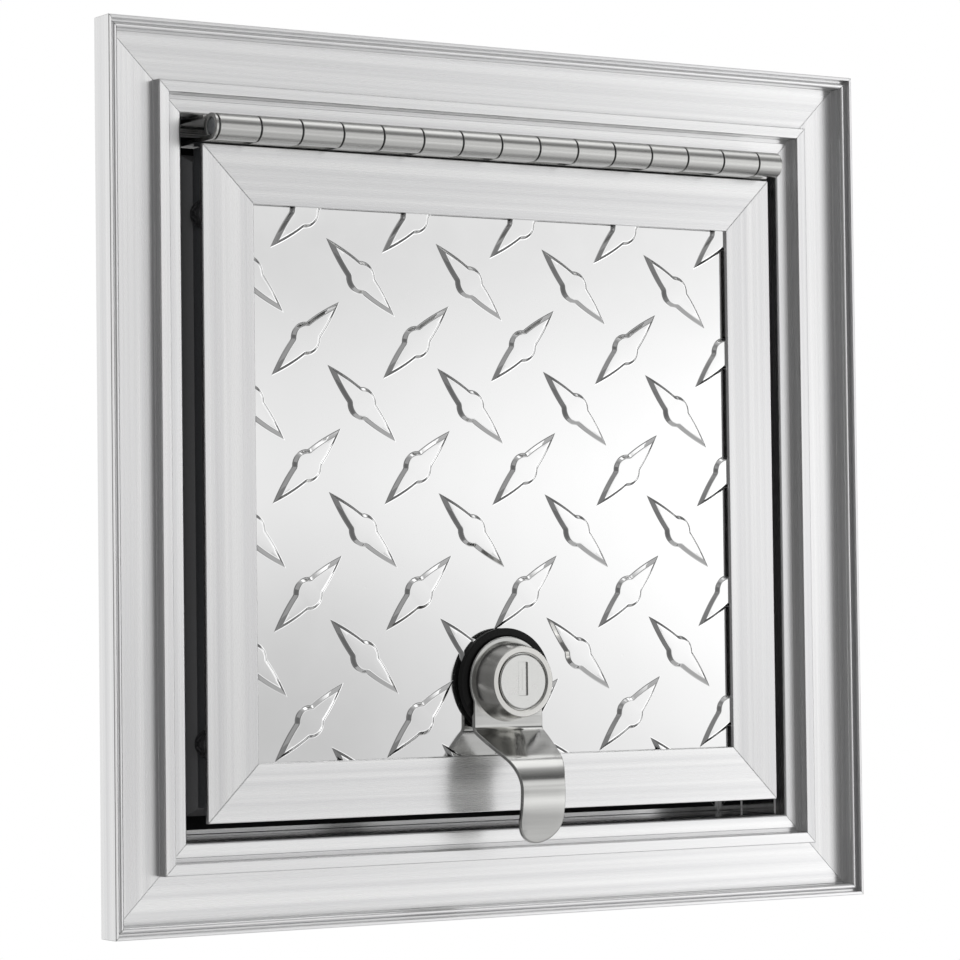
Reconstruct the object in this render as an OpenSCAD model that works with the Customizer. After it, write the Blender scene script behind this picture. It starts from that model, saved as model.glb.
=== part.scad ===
// Compartment door: a mitred aluminium trim frame with its jamb, a top hung tread plate door
// and a keyed finger pull.
// Millimetres. The front looks along -Y, X runs to the right, Z is up.
// The back of the trim flange lies on the wall plane Y = 0.
// The origin is on the back face of the bottom flange, halfway along it.

/* [Frame] */

// width over the outer lips
frame_w = 254; // [220:1:320]
// height over the outer lips
frame_h = 250; // [216:1:316]
// how far the outer lip stands off the wall
lip_h = 8.8; // [8:0.1:11]
// thickness of the outer lip
lip_t = 1.0; // [0.8:0.1:1.4]
// width of the groove between the lip and the bead
groove_w = 0.6; // [0.4:0.1:1]
// how far the bottom of that groove stands off the wall
groove_h = 5.0; // [4:0.1:6]
// width of the round bead inside the lip
bead_w = 1.8; // [1.4:0.1:2.4]
// how far the crown of the bead stands off the wall
bead_h = 7.6; // [6.8:0.1:7.9]
// thickness of the wide flat of the flange
floor_t = 3.0; // [2:0.1:3.8]
// width of the wide flat of the flange
floor_w = 12.9; // [9:0.1:20]
// width of the raised band round the opening
band_w = 3.3; // [2.4:0.1:4.5]
// how far the raised band stands off the wall
band_h = 6.5; // [5:0.1:7.4]
// width of the narrow ledge at the foot of the band
ledge_w = 1.3; // [0.8:0.1:2]
// how far that ledge stands off the wall
ledge_h = 2.0; // [1.6:0.1:2.3]
// width of the innermost flat
inner_w = 4.1; // [3:0.1:6]
// how far the innermost flat stands off the wall
inner_h = 2.8; // [2.4:0.1:3.6]
// rounding where the innermost flat turns into the jamb
edge_r = 0.8; // [0.4:0.1:1.2]

/* [Jamb] */

// depth of the jamb behind the wall plane
jamb_d = 33; // [33:0.5:45]
// wall thickness of the jamb
jamb_t = 1.4; // [1.2:0.1:2]
// depth of the drip grooves along the jamb
drip_d = 0.5; // [0.3:0.1:0.7]
// width of the drip grooves along the jamb
drip_w = 1.0; // [0.6:0.1:1.6]
// depth of the first drip groove behind the wall plane
drip_a = 2.4; // [2:0.1:6]
// depth of the second drip groove behind the wall plane
drip_b = 19.4; // [12:0.1:24]
// how far the stop reaches in from the jamb
stop_w = 11; // [9:0.5:12]
// thickness of the stop
stop_t = 1.5; // [1.2:0.1:2]

/* [Hinge] */

// outer radius of the knuckles
knuckle_r = 3.7; // [3.4:0.1:4.2]
// distance from knuckle to knuckle
knuckle_pitch = 13.1; // [11:0.1:16]
// gap between neighbouring knuckles
knuckle_gap = 0.45; // [0.2:0.05:0.6]
// running clearance round the hinge pin
pin_fit = 0.06; // [0.03:0.01:0.1]
// how far the ends of the hinge pin lie inside the hinge
pin_in = 0.4; // [0.2:0.1:1]
// width of the seam where a rolled knuckle meets its leaf again
seam_w = 0.3; // [0.2:0.05:0.5]
// thickness of the two hinge leaves
leaf_t = 1.2; // [1:0.1:1.5]
// reach of each leaf behind the hinge axis
leaf_d = 20; // [18:0.5:22]
// how far the hinge axis stands in front of the wall plane
axis_h = 11; // [10:0.1:14]
// space between a leaf and what it is fastened to
leaf_seat = 0.3; // [0.2:0.05:0.4]
// side clearance of the knuckles in the notches of the other leaf
notch_gap = 0.6; // [0.4:0.05:0.9]
// how much shorter than the clear opening the hinge is
hinge_short = 11; // [8:0.5:20]
// how far the hinge sits to the right of the middle
hinge_shift = -0.8; // [-2:0.1:2]
// length of hinge before the first full knuckle
hinge_lead = 1.3; // [1:0.1:3]

/* [Door leaf] */

// gap between the door and the jamb at the sides and the bottom
door_gap = 5; // [5:0.1:6]
// how far the face of the door stands in front of the wall plane
face_h = 5.5; // [5:0.1:6.5]
// width of the mitred door face members
rim_w = 16.1; // [14:0.1:20]
// thickness of the door face members
rim_t = 1.3; // [1:0.1:1.6]
// thickness of the inner return of the face members
return_t = 1.5; // [1.2:0.1:2]
// how far the tread plate lies behind the door face
plate_sink = 3.8; // [3.4:0.1:4.4]
// thickness of the tread plate
plate_t = 1.6; // [1.2:0.1:2]
// how far the tread plate reaches under the return
plate_lap = 1.6; // [1:0.1:2]
// how far the core is set in from the edge of the door face
core_inset = 3.9; // [3:0.1:5]
// depth of the core behind the wall plane
core_back = 24.2; // [23:0.1:26]
// thickness of the inner skin
skin_t = 1.0; // [0.8:0.1:1.4]
// depth behind the wall plane where the edge seal starts
seal_start = 6.9; // [6.5:0.1:8]
// how far the flare of the edge seal stands off the core
seal_flare = 2.5; // [2:0.1:2.6]
// depth of the sloping front of the edge seal
seal_slope = 3.6; // [3:0.1:5]
// depth of the lip of the edge seal behind that slope
seal_lip = 3.4; // [2:0.1:5]
// bevel of the back corner of the edge seal
seal_bevel = 1.7; // [1:0.1:2.5]
// width of the edge seal across the back of the core
seal_w = 7.6; // [6:0.1:8]
// space between the closed edge seal and the stop
seal_gap = 0.5; // [0.3:0.1:0.8]

/* [Tread pattern] */

// distance between equal lugs across the plate
lug_pitch_x = 36.2; // [32:0.1:40]
// distance between equal lugs up the plate
lug_pitch_z = 35.7; // [32:0.1:40]
// slant of the lugs
lug_slant = 44; // [40:0.5:50]
// length of a lug from point to point
lug_l = 29.0; // [24:0.1:30]
// width of a lug across its round middle
lug_w = 8.8; // [7:0.1:9.6]
// width of the slender lens that makes the points of a lug
lug_lens = 6.2; // [4:0.1:6.8]
// power of the curve that draws a lug to its points
lug_point = 1.7; // [1.4:0.1:2.2]
// height of the lugs over the plate
lug_h = 1.0; // [0.8:0.1:1.4]
// size of the flat top of a lug against its foot
lug_top = 0.8; // [0.7:0.01:0.95]
// sideways place of a falling lug beside the middle of the door
lug_x = -8.3; // [-18:0.1:18]
// height of a falling lug over the middle of the frame
lug_z = -14.4; // [-18:0.1:18]
// space kept between the lugs and what covers the plate
lug_trim = 0.3; // [0.2:0.1:0.6]

/* [Lock and pull] */

// height of the lock axis over the bottom edge of the door
lock_rise = 37.2; // [36:0.1:60]
// radius of the rubber gasket under the pull
gasket_r = 15.3; // [14.5:0.1:17]
// thickness of that gasket
gasket_t = 3.7; // [2.5:0.1:4.2]
// how far the rim of the gasket reaches round the edge of the pull
gasket_rim = 0.9; // [0.5:0.1:1.5]
// thickness of the finger pull
pull_t = 1.8; // [1.5:0.1:2.2]
// radius of the round head of the finger pull
pull_r = 12.9; // [12.5:0.1:13.8]
// half the width of the neck of the finger pull
neck_w = 11.7; // [10:0.1:12]
// half the width of the tongue of the finger pull
tongue_w = 7.5; // [6:0.1:9]
// length of the finger pull below the lock axis
pull_l = 45.8; // [42:0.1:50]
// how far below the lock axis the neck starts to narrow
ease_from = 17; // [15:0.5:20]
// how far below the lock axis the tongue has its full slimness
ease_to = 30; // [26:0.5:36]
// how far below the lock axis the pull starts to bend
bend_start = 13.6; // [12:0.1:14]
// angle of the first bend
bend_angle = 68; // [55:1:75]
// radius of the first bend
bend_r = 4; // [3.6:0.1:5]
// length of the straight part between the bends
bend_run = 9.6; // [7:0.1:10]
// radius of the second bend
crook_r = 11; // [9:0.1:12]
// radius of the slow curve back towards the door at the end of the tongue
tip_r = 28; // [22:1:60]
// radius of the lock head at its foot
head_r = 11.6; // [11:0.1:12]
// radius of the lock head at its front
head_front_r = 10.2; // [9.6:0.1:10.8]
// how far the lock head stands in front of the pull
head_l = 7.9; // [7:0.1:10]
// radius of the threaded body of the lock
barrel_r = 9.5; // [9:0.1:10]
// clearance of the lock body in its holes
barrel_fit = 0.3; // [0.2:0.05:0.5]
// how far the lock body reaches behind its nut
barrel_past = 4.4; // [4:0.1:5.5]
// radius of the turning plug
plug_r = 8.1; // [7.4:0.05:8.2]
// length of the thin tail of the plug inside the lock body
plug_tail = 10; // [8:0.5:12]
// running clearance of the plug
plug_fit = 0.06; // [0.03:0.01:0.1]
// bevel round the front of the plug and of its bore
plug_bevel = 0.35; // [0.2:0.05:0.5]
// width of the open groove round the front of the plug
plug_groove = 0.25; // [0.1:0.05:0.4]
// depth of that groove
groove_d = 1.3; // [1:0.1:2]
// width of the keyway
key_w = 3.1; // [2:0.1:3.4]
// height of the keyway
key_h = 9.5; // [8:0.1:10.5]
// depth of the keyway in front of its shutter
key_d = 0.5; // [0.4:0.1:1.2]
// height of the middle of the keyway over the lock axis
key_up = 0.8; // [0:0.1:1.2]
// width across the flats of the lock nut
nut_af = 24; // [23:0.5:26]
// thickness of the lock nut
nut_t = 4; // [3:0.5:5]
// how far the locked cam reaches behind the bottom stop
cam_bite = 6.5; // [5:0.5:9]
// half the width of the cam
cam_w = 8; // [7:0.5:9]
// thickness of the cam
cam_t = 2.5; // [2:0.1:3]
// rounding of the corners at the tip of the cam
cam_round = 3; // [2:0.5:5]
// radius of the screw that holds the cam
cam_screw_r = 4.5; // [4:0.1:5.5]
// height of the head of the screw that holds the cam
cam_screw_h = 3; // [2.5:0.1:4]
// space between the cam and the end of the lock body
cam_gap = 0.6; // [0.4:0.1:1]

/* [Side screws] */

// radius of the screw heads
screw_r = 4.0; // [3.4:0.1:4.2]
// height of the screw heads
screw_h = 2.4; // [2:0.1:2.8]
// distance of the screws from the top and bottom of the clear opening
screw_in = 26.6; // [24:0.1:34]
// depth of the screws behind the wall plane
screw_y = 2.7; // [2.6:0.1:2.8]
// width of the cross in the screw heads
cross_w = 0.9; // [0.7:0.1:1.2]
// length of the cross in the screw heads
cross_l = 4.8; // [4:0.1:5.6]
// depth of the cross in the screw heads
cross_d = 0.9; // [0.6:0.1:1.2]

/* [Hidden] */

mill = [0.80, 0.80, 0.81];
bright = [0.90, 0.90, 0.91];
steel = [0.72, 0.71, 0.69];
black = [0.06, 0.06, 0.07];

facets = 64;
small_facets = 40;
lug_steps = 9;
lug_rows = 4;
dome_steps = 6;
bend_steps = 8;
crook_steps = 14;
tip_steps = 6;
edge_steps = 16;
cut = 1;

// The flange from the outer lip to the opening.
groove_u = lip_t;
bead_u = groove_u + groove_w;
floor_u = bead_u + bead_w;
band_u = floor_u + floor_w;
ledge_u = band_u + band_w;
inner_u = ledge_u + ledge_w;
flange_w = inner_u + inner_w;
frame_reach = flange_w + stop_w;

// The origin lies under the middle of the flange's flat back.
mount_u = (flange_w - jamb_t) / 2;
mid_z = frame_h / 2 - mount_u;

// The clear opening inside the jamb.
open_w = frame_w - 2 * flange_w;
open_h = frame_h - 2 * flange_w;
open_top = mid_z + open_h / 2;
open_bottom = mid_z - open_h / 2;

// The hinge axis.
axis_y = -axis_h;
axis_z = open_top - leaf_seat - knuckle_r;
hinge_l = open_w - hinge_short;
hinge_from = hinge_shift - hinge_l / 2;
hinge_to = hinge_shift + hinge_l / 2;
knuckles = ceil((hinge_l - hinge_lead) / knuckle_pitch);
bore_r = knuckle_r - leaf_t;
pin_r = bore_r - pin_fit;
seam_top = bore_r - seam_w / 3;

// The door outline.
door_w = open_w - 2 * door_gap;
door_top = axis_z - knuckle_r - leaf_seat;
door_bottom = open_bottom + door_gap;
door_h = door_top - door_bottom;
door_mid = (door_top + door_bottom) / 2;
face_y = -face_h;
rim_back = face_y + rim_t;
plate_y = face_y + plate_sink;
plate_back = plate_y + plate_t;
window_w = door_w - 2 * rim_w;
window_h = door_h - 2 * rim_w;
plate_w = window_w + 2 * (return_t + plate_lap);
plate_h = window_h + 2 * (return_t + plate_lap);
pocket_w = plate_w + 2 * leaf_seat;
pocket_h = plate_h + 2 * leaf_seat;

// The edge seal rests on the stop.
stop_y = jamb_d - stop_t;
seal_back = stop_y - seal_gap;
seal_shoulder = seal_start + seal_slope;
skin_w = door_w - 2 * (core_inset + seal_w + leaf_seat);
skin_h = door_h - 2 * (core_inset + seal_w + leaf_seat);

// The lock along its axis, from the front to the back.
lock_z = door_bottom + lock_rise;
gasket_y = plate_y - gasket_t;
pull_y = gasket_y - pull_t;
head_y = pull_y - head_l;
skin_y = core_back + skin_t;
barrel_end = skin_y + nut_t + barrel_past;
cam_y = barrel_end + cam_gap;
cam_l = lock_z - open_bottom - stop_w + cam_bite;
plug_neck = barrel_end - plug_tail;
plug_shaft_r = plug_r / 2;
plug_front_r = plug_r - plug_groove;

// Points of an arc, with equal steps from one angle to the other.
function arc(cx, cy, r, from, to, steps) =
    [for (i = [0 : steps]) let(a = from + (to - from) * i / steps) [cx + r * cos(a), cy + r * sin(a)]];

// Section of the trim frame: u runs in from the outer edge, y back from the wall plane.
function frame_section() = concat(
    [[0, 0], [0, -lip_h], [lip_t, -lip_h], [lip_t, -groove_h], [bead_u, -groove_h]],
    arc(bead_u + bead_w / 2, -bead_h + bead_w / 2, bead_w / 2, 180, 360, 8),
    [[floor_u, -floor_t], [band_u, -floor_t], [band_u, -band_h], [ledge_u, -band_h], [ledge_u, -ledge_h],
     [inner_u, -ledge_h], [inner_u, -inner_h]],
    arc(flange_w - edge_r, -inner_h + edge_r, edge_r, 270, 360, 5),
    drip(drip_a),
    drip(drip_b),
    [[flange_w, stop_y], [frame_reach, stop_y], [frame_reach, jamb_d], [flange_w - jamb_t, jamb_d],
     [flange_w - jamb_t, 0]]);

// One shallow groove in the inner face of the jamb.
function drip(y) = [[flange_w, y - drip_w / 2], [flange_w - drip_d, y], [flange_w, y + drip_w / 2]];

// Section of a door face member: the face and the return that holds the plate.
function rim_section() =
    [[0, face_y], [rim_w, face_y], [rim_w, plate_y], [rim_w - return_t, plate_y], [rim_w - return_t, rim_back],
     [0, rim_back]];

// Section of the edge seal: it flares from the side of the core and wraps round its back corner.
function seal_section() =
    [[core_inset, seal_start], [core_inset - seal_flare, seal_shoulder],
     [core_inset - 0.8 * seal_flare, seal_shoulder + seal_lip], [core_inset - 0.2 * seal_flare, core_back],
     [core_inset + 0.4 * seal_flare, seal_back - seal_bevel / 2], [core_inset + 0.8 * seal_flare, seal_back],
     [core_inset + seal_w - seal_bevel, seal_back], [core_inset + seal_w, seal_back - seal_bevel],
     [core_inset + seal_w, core_back], [core_inset, core_back]];

// An upright member of a mitred frame, at the left, from its section.
module upright(section, w, h, mid, reach, front, back) {
    intersection() {
        translate([-w / 2, 0, mid])
            linear_extrude(height = h, center = true)
                polygon(section);
        translate([0, back + cut, mid])
            rotate([90, 0, 0])
                linear_extrude(height = back - front + 2 * cut)
                    polygon([[-w / 2 - cut, -h / 2 - cut], [-w / 2 + reach, -h / 2 + reach],
                             [-w / 2 + reach, h / 2 - reach], [-w / 2 - cut, h / 2 + cut]]);
    }
}

// A level member of a mitred frame, at the bottom, from its section.
module level(section, w, h, mid, reach, front, back) {
    intersection() {
        translate([0, 0, mid - h / 2])
            rotate([0, -90, 0])
                linear_extrude(height = w, center = true)
                    polygon(section);
        translate([0, back + cut, mid])
            rotate([90, 0, 0])
                linear_extrude(height = back - front + 2 * cut)
                    polygon([[-w / 2 - cut, -h / 2 - cut], [w / 2 + cut, -h / 2 - cut],
                             [w / 2 - reach, -h / 2 + reach], [-w / 2 + reach, -h / 2 + reach]]);
    }
}

// Turns a left piece into its right twin.
module to_right() {
    mirror([1, 0, 0])
        children();
}

// Turns a bottom piece into its top twin about a level.
module to_top(mid) {
    translate([0, 0, mid])
        mirror([0, 0, 1])
            translate([0, 0, -mid])
                children();
}

// A rod or bore along Y from one depth to another.
module rod_y(r, from, to, fn) {
    translate([0, to, 0])
        rotate([90, 0, 0])
            cylinder(h = to - from, r = r, $fn = fn);
}

// A block given by its middle in X and Z and by its depths.
module slab(w, h, from, to, mid) {
    translate([-w / 2, from, mid - h / 2])
        cube([w, to - from, h]);
}

module frame_left() {
    color(mill)
        upright(frame_section(), frame_w, frame_h, mid_z, frame_reach + cut, -lip_h, jamb_d);
}

module frame_right() {
    color(mill)
        to_right()
            upright(frame_section(), frame_w, frame_h, mid_z, frame_reach + cut, -lip_h, jamb_d);
}

module frame_bottom() {
    color(mill)
        level(frame_section(), frame_w, frame_h, mid_z, frame_reach + cut, -lip_h, jamb_d);
}

module frame_top() {
    color(mill)
        to_top(mid_z)
            level(frame_section(), frame_w, frame_h, mid_z, frame_reach + cut, -lip_h, jamb_d);
}

// Start and end of a knuckle along the hinge; the ends of the hinge cut the first and the last one short.
function knuckle_from(i) = max(hinge_from, hinge_from + hinge_lead + i * knuckle_pitch);
function knuckle_to(i) = min(hinge_to, hinge_from + hinge_lead + (i + 1) * knuckle_pitch - knuckle_gap);

// One leaf over or under the axis, its sheet rolled round the pin at every second knuckle and cut away between.
module leaf(first, other, side) {
    leaf_low = side > 0 ? bore_r : -knuckle_r;
    seam_low = side > 0 ? seam_top - seam_w : -seam_top;
    difference() {
        union() {
            translate([hinge_from, 0, leaf_low])
                cube([hinge_l, leaf_d, leaf_t]);
            for (i = [first : 2 : knuckles - 1])
                translate([knuckle_from(i), 0, 0])
                    rotate([0, 90, 0])
                        cylinder(h = knuckle_to(i) - knuckle_from(i), r = knuckle_r, $fn = facets);
        }
        for (i = [other : 2 : knuckles - 1])
            translate([knuckle_from(i) - knuckle_gap, -knuckle_r - cut, -knuckle_r - cut])
                cube([knuckle_to(i) - knuckle_from(i) + 2 * knuckle_gap, 2 * knuckle_r + notch_gap + cut,
                      2 * (knuckle_r + cut)]);
        translate([hinge_from - cut, 0, 0])
            rotate([0, 90, 0])
                cylinder(h = hinge_l + 2 * cut, r = bore_r, $fn = small_facets);
        translate([hinge_from - cut, 0, seam_low])
            cube([hinge_l + 2 * cut, knuckle_r + cut, seam_w]);
    }
}

module hinge_frame_leaf() {
    color(steel)
        translate([0, axis_y, axis_z])
            leaf(0, -1, 1);
}

module hinge_door_leaf() {
    color(steel)
        translate([0, axis_y, axis_z])
            leaf(-1, 0, -1);
}

module hinge_pin() {
    color(steel)
        translate([hinge_from + pin_in, axis_y, axis_z])
            rotate([0, 90, 0])
                cylinder(h = hinge_l - 2 * pin_in, r = pin_r, $fn = small_facets);
}

module rim_left() {
    color(mill)
        upright(rim_section(), door_w, door_h, door_mid, rim_w + cut, face_y, plate_y);
}

module rim_right() {
    color(mill)
        to_right()
            upright(rim_section(), door_w, door_h, door_mid, rim_w + cut, face_y, plate_y);
}

module rim_bottom() {
    color(mill)
        level(rim_section(), door_w, door_h, door_mid, rim_w + cut, face_y, plate_y);
}

module rim_top() {
    color(mill)
        to_top(door_mid)
            level(rim_section(), door_w, door_h, door_mid, rim_w + cut, face_y, plate_y);
}

// Half the width of a lug at a share t of its half length: a slender lens with a round middle.
function lug_half(t) =
    max(lug_lens / 2 * (1 - pow(abs(t), lug_point)), lug_w / 2 * sqrt(max(0, 1 - pow(t * lug_l / lug_w, 2))));

// Outline of one lug along X.
function lug_outline(steps) = concat(
    [for (i = [-steps : steps]) [i / steps * lug_l / 2, lug_half(i / steps)]],
    [for (i = [steps - 1 : -1 : 1 - steps]) [i / steps * lug_l / 2, -lug_half(i / steps)]]);

// One lug on the plate, its sides sloping in to a flat top.
// Side 1 rises to the right and side -1 falls to the right.
module lug(x, z, side) {
    translate([x, plate_y + cut / 4, mid_z + z])
        rotate([90, 0, 0])
            rotate([0, 0, side * lug_slant])
                linear_extrude(height = lug_h + cut / 4, scale = lug_top)
                    polygon(lug_outline(lug_steps));
}

// Rows and columns of a lug family that reach the window.
reach_x = window_w / 2 + lug_l / 3;
reach_z = window_h / 2 + lug_l / 3;
function fits(x, z) = abs(x) < reach_x && abs(z + mid_z - door_mid) < reach_z;

module lugs() {
    for (i = [-lug_rows : lug_rows], j = [-lug_rows : lug_rows]) {
        fall_x = lug_x + i * lug_pitch_x;
        fall_z = lug_z + j * lug_pitch_z;
        rise_x = fall_x + lug_pitch_x / 2;
        rise_z = fall_z + lug_pitch_z / 2;
        if (fits(fall_x, fall_z))
            lug(fall_x, fall_z, -1);
        if (fits(rise_x, rise_z))
            lug(rise_x, rise_z, 1);
    }
}

module tread_plate() {
    color(bright)
        difference() {
            union() {
                slab(plate_w, plate_h, plate_y, plate_back, door_mid);
                intersection() {
                    lugs();
                    slab(window_w - 2 * lug_trim, window_h - 2 * lug_trim, plate_y - 2 * lug_h, plate_back,
                         door_mid);
                }
            }
            translate([0, 0, lock_z])
                rod_y(barrel_r + barrel_fit, plate_y - cut, plate_back + cut, facets);
            translate([0, 0, lock_z])
                rod_y(gasket_r + lug_trim, plate_y - 2 * lug_h, plate_y, facets);
        }
}

module door_core() {
    color(black)
        difference() {
            union() {
                translate([core_inset - door_w / 2, rim_back, door_bottom + core_inset])
                    cube([door_w - 2 * core_inset, seal_start - rim_back, door_h - core_inset]);
                slab(door_w - 2 * core_inset, door_h - 2 * core_inset, seal_start, core_back, door_mid);
            }
            slab(pocket_w, pocket_h, rim_back - cut, plate_back, door_mid);
            translate([0, 0, lock_z])
                rod_y(barrel_r + barrel_fit, plate_y - cut, core_back + cut, facets);
        }
}

module back_panel() {
    color(mill)
        difference() {
            slab(skin_w, skin_h, core_back, skin_y, door_mid);
            translate([0, 0, lock_z])
                rod_y(barrel_r + barrel_fit, core_back - cut, skin_y + cut, facets);
        }
}

module seal_left() {
    color(black)
        upright(seal_section(), door_w, door_h, door_mid, core_inset + seal_w + cut, seal_start, seal_back);
}

module seal_right() {
    color(black)
        to_right()
            upright(seal_section(), door_w, door_h, door_mid, core_inset + seal_w + cut, seal_start, seal_back);
}

module seal_bottom() {
    color(black)
        level(seal_section(), door_w, door_h, door_mid, core_inset + seal_w + cut, seal_start, seal_back);
}

module seal_top() {
    color(black)
        to_top(door_mid)
            level(seal_section(), door_w, door_h, door_mid, core_inset + seal_w + cut, seal_start, seal_back);
}

// A low round screw head with a cross, its foot on the side of the core and its axis along X.
module side_screw(z) {
    dome_r = (screw_r * screw_r + screw_h * screw_h) / (2 * screw_h);
    dome_a = asin(screw_r / dome_r);
    translate([core_inset - door_w / 2, screw_y, z])
        rotate([0, -90, 0])
            difference() {
                rotate_extrude($fn = small_facets)
                    polygon(concat([[0, 0]], [for (i = [0 : dome_steps]) let(a = dome_a * (1 - i / dome_steps))
                        [dome_r * sin(a), dome_r * cos(a) - dome_r + screw_h]]));
                for (turn = [45, 135])
                    translate([0, 0, screw_h - cross_d])
                        rotate([0, 0, turn])
                            translate([-cross_l / 2, -cross_w / 2, 0])
                                cube([cross_l, cross_w, cross_d + cut]);
            }
}

module screw_left_upper() {
    color(black)
        side_screw(open_top - screw_in);
}

module screw_left_lower() {
    color(black)
        side_screw(open_bottom + screw_in);
}

module screw_right_upper() {
    color(black)
        to_right()
            side_screw(open_top - screw_in);
}

module screw_right_lower() {
    color(black)
        to_right()
            side_screw(open_bottom + screw_in);
}

// The gasket is a shallow cup round the head of the pull, open below where the neck leaves it.
module lock_gasket() {
    cup_r = pull_r + leaf_seat;
    gate_w = neck_w + leaf_seat;
    color(black)
        translate([0, 0, lock_z])
            difference() {
                rod_y(gasket_r, gasket_y - gasket_rim, plate_y, facets);
                rod_y(barrel_r + barrel_fit, gasket_y - gasket_rim - cut, plate_y + cut, facets);
                rod_y(cup_r, gasket_y - gasket_rim - cut, gasket_y, facets);
                translate([-gate_w, gasket_y - gasket_rim - cut, -gasket_r - cut])
                    cube([2 * gate_w, gasket_rim + cut, gasket_r + cut]);
            }
}

// Middle line of the finger pull, as distance down from the lock axis and distance out from its flat.
line_d = bend_start + bend_r * sin(bend_angle);
line_o = bend_r * (1 - cos(bend_angle));
crook_d = line_d + bend_run * cos(bend_angle);
crook_o = line_o + bend_run * sin(bend_angle);
tongue_d = crook_d + crook_r * sin(bend_angle);
tongue_o = crook_o + crook_r * (1 - cos(bend_angle));
tip_angle = asin((pull_l + pull_t - tongue_d) / tip_r);

// The bent sheet seen from the side: y out and z down, for one of its two faces at an offset s.
function pull_face(s) = concat(
    [[-pull_r, -s]],
    [for (i = [0 : bend_steps]) let(a = bend_angle * i / bend_steps)
        [bend_start + (bend_r + s) * sin(a), bend_r - (bend_r + s) * cos(a)]],
    [for (i = [0 : crook_steps]) let(a = bend_angle * (1 - i / crook_steps))
        [tongue_d - (crook_r - s) * sin(a), tongue_o - crook_r + (crook_r - s) * cos(a)]],
    [for (i = [1 : tip_steps]) let(a = tip_angle * i / tip_steps)
        [tongue_d + (tip_r - s) * sin(a), tongue_o - tip_r + (tip_r - s) * cos(a)]]);

function reversed(list) = [for (i = [len(list) - 1 : -1 : 0]) list[i]];

// Half the width of the pull below the axis.
function pull_half(d) = d < ease_from ? neck_w : d > ease_to ? tongue_w :
    tongue_w + (neck_w - tongue_w) * (0.5 + 0.5 * cos(180 * (d - ease_from) / (ease_to - ease_from)));

// The neck and tongue seen from the front, down to the round tip.
tip_d = pull_l - tongue_w;
function pull_outline() = concat(
    [for (i = [0 : edge_steps]) let(d = tip_d * i / edge_steps) [-pull_half(d), -d]],
    [for (i = [edge_steps : -1 : 0]) let(d = tip_d * i / edge_steps) [pull_half(d), -d]]);

module finger_pull() {
    color(steel)
        translate([0, 0, lock_z])
            difference() {
                intersection() {
                    translate([-pull_r - cut, 0, 0])
                        rotate([0, 90, 0])
                            linear_extrude(height = 2 * (pull_r + cut))
                                translate([0, pull_y + pull_t / 2])
                                    mirror([0, 1])
                                        polygon(concat(pull_face(pull_t / 2),
                                                       reversed(pull_face(-pull_t / 2))));
                    union() {
                        rod_y(pull_r, pull_y - 2 * pull_l, gasket_y + cut, facets);
                        translate([0, 0, -tip_d])
                            rod_y(tongue_w, pull_y - 2 * pull_l, gasket_y + cut, facets);
                        translate([0, gasket_y + cut, 0])
                            rotate([90, 0, 0])
                                linear_extrude(height = 2 * pull_l)
                                    polygon(pull_outline());
                    }
                }
                rod_y(barrel_r + barrel_fit, pull_y - cut, gasket_y + cut, facets);
            }
}

module lock_body() {
    color(steel)
        translate([0, 0, lock_z])
            rotate([-90, 0, 0])
                rotate_extrude($fn = facets)
                    polygon([[plug_r + plug_fit + plug_bevel, head_y], [head_front_r - plug_bevel, head_y],
                             [head_front_r, head_y + plug_bevel], [head_r, pull_y - plug_bevel], [head_r, pull_y],
                             [barrel_r, pull_y], [barrel_r, barrel_end], [plug_shaft_r + plug_fit, barrel_end],
                             [plug_shaft_r + plug_fit, plug_neck], [plug_r + plug_fit, plug_neck],
                             [plug_r + plug_fit, head_y + plug_bevel]]);
}

module lock_nut() {
    color(steel)
        translate([0, 0, lock_z])
            difference() {
                rod_y(nut_af / sqrt(3), skin_y, skin_y + nut_t, 6);
                rod_y(barrel_r, skin_y - cut, skin_y + nut_t + cut, facets);
            }
}

module lock_plug() {
    color(bright)
        translate([0, 0, lock_z])
            difference() {
                rotate([-90, 0, 0])
                    rotate_extrude($fn = facets)
                        polygon([[0, head_y], [plug_front_r - plug_bevel, head_y],
                                 [plug_front_r, head_y + plug_bevel], [plug_front_r, head_y + groove_d],
                                 [plug_r, head_y + groove_d], [plug_r, plug_neck - plug_bevel],
                                 [plug_shaft_r, plug_neck - plug_bevel], [plug_shaft_r, cam_y], [0, cam_y]]);
                translate([-key_w / 2, head_y - cut, key_up - key_h / 2])
                    cube([key_w, key_d + cut, key_h]);
            }
}

// The cam points sideways while the door is unlocked; a quarter turn brings it down behind the stop.
module lock_cam() {
    color(steel)
        translate([0, 0, lock_z])
            union() {
                rod_y(cam_w, cam_y, cam_y + cam_t, facets);
                translate([0, cam_y, -cam_w])
                    cube([cam_l - cam_round, cam_t, 2 * cam_w]);
                translate([cam_l - cam_round, 0, -cam_w + cam_round])
                    rod_y(cam_round, cam_y, cam_y + cam_t, small_facets);
                translate([cam_l - cam_round, 0, cam_w - cam_round])
                    rod_y(cam_round, cam_y, cam_y + cam_t, small_facets);
                translate([cam_l - cam_round - cut, cam_y, -cam_w + cam_round])
                    cube([cam_round + cut, cam_t, 2 * (cam_w - cam_round)]);
            }
}

module cam_screw() {
    color(steel)
        translate([0, 0, lock_z])
            rod_y(cam_screw_r, cam_y + cam_t, cam_y + cam_t + cam_screw_h, 6);
}

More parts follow.
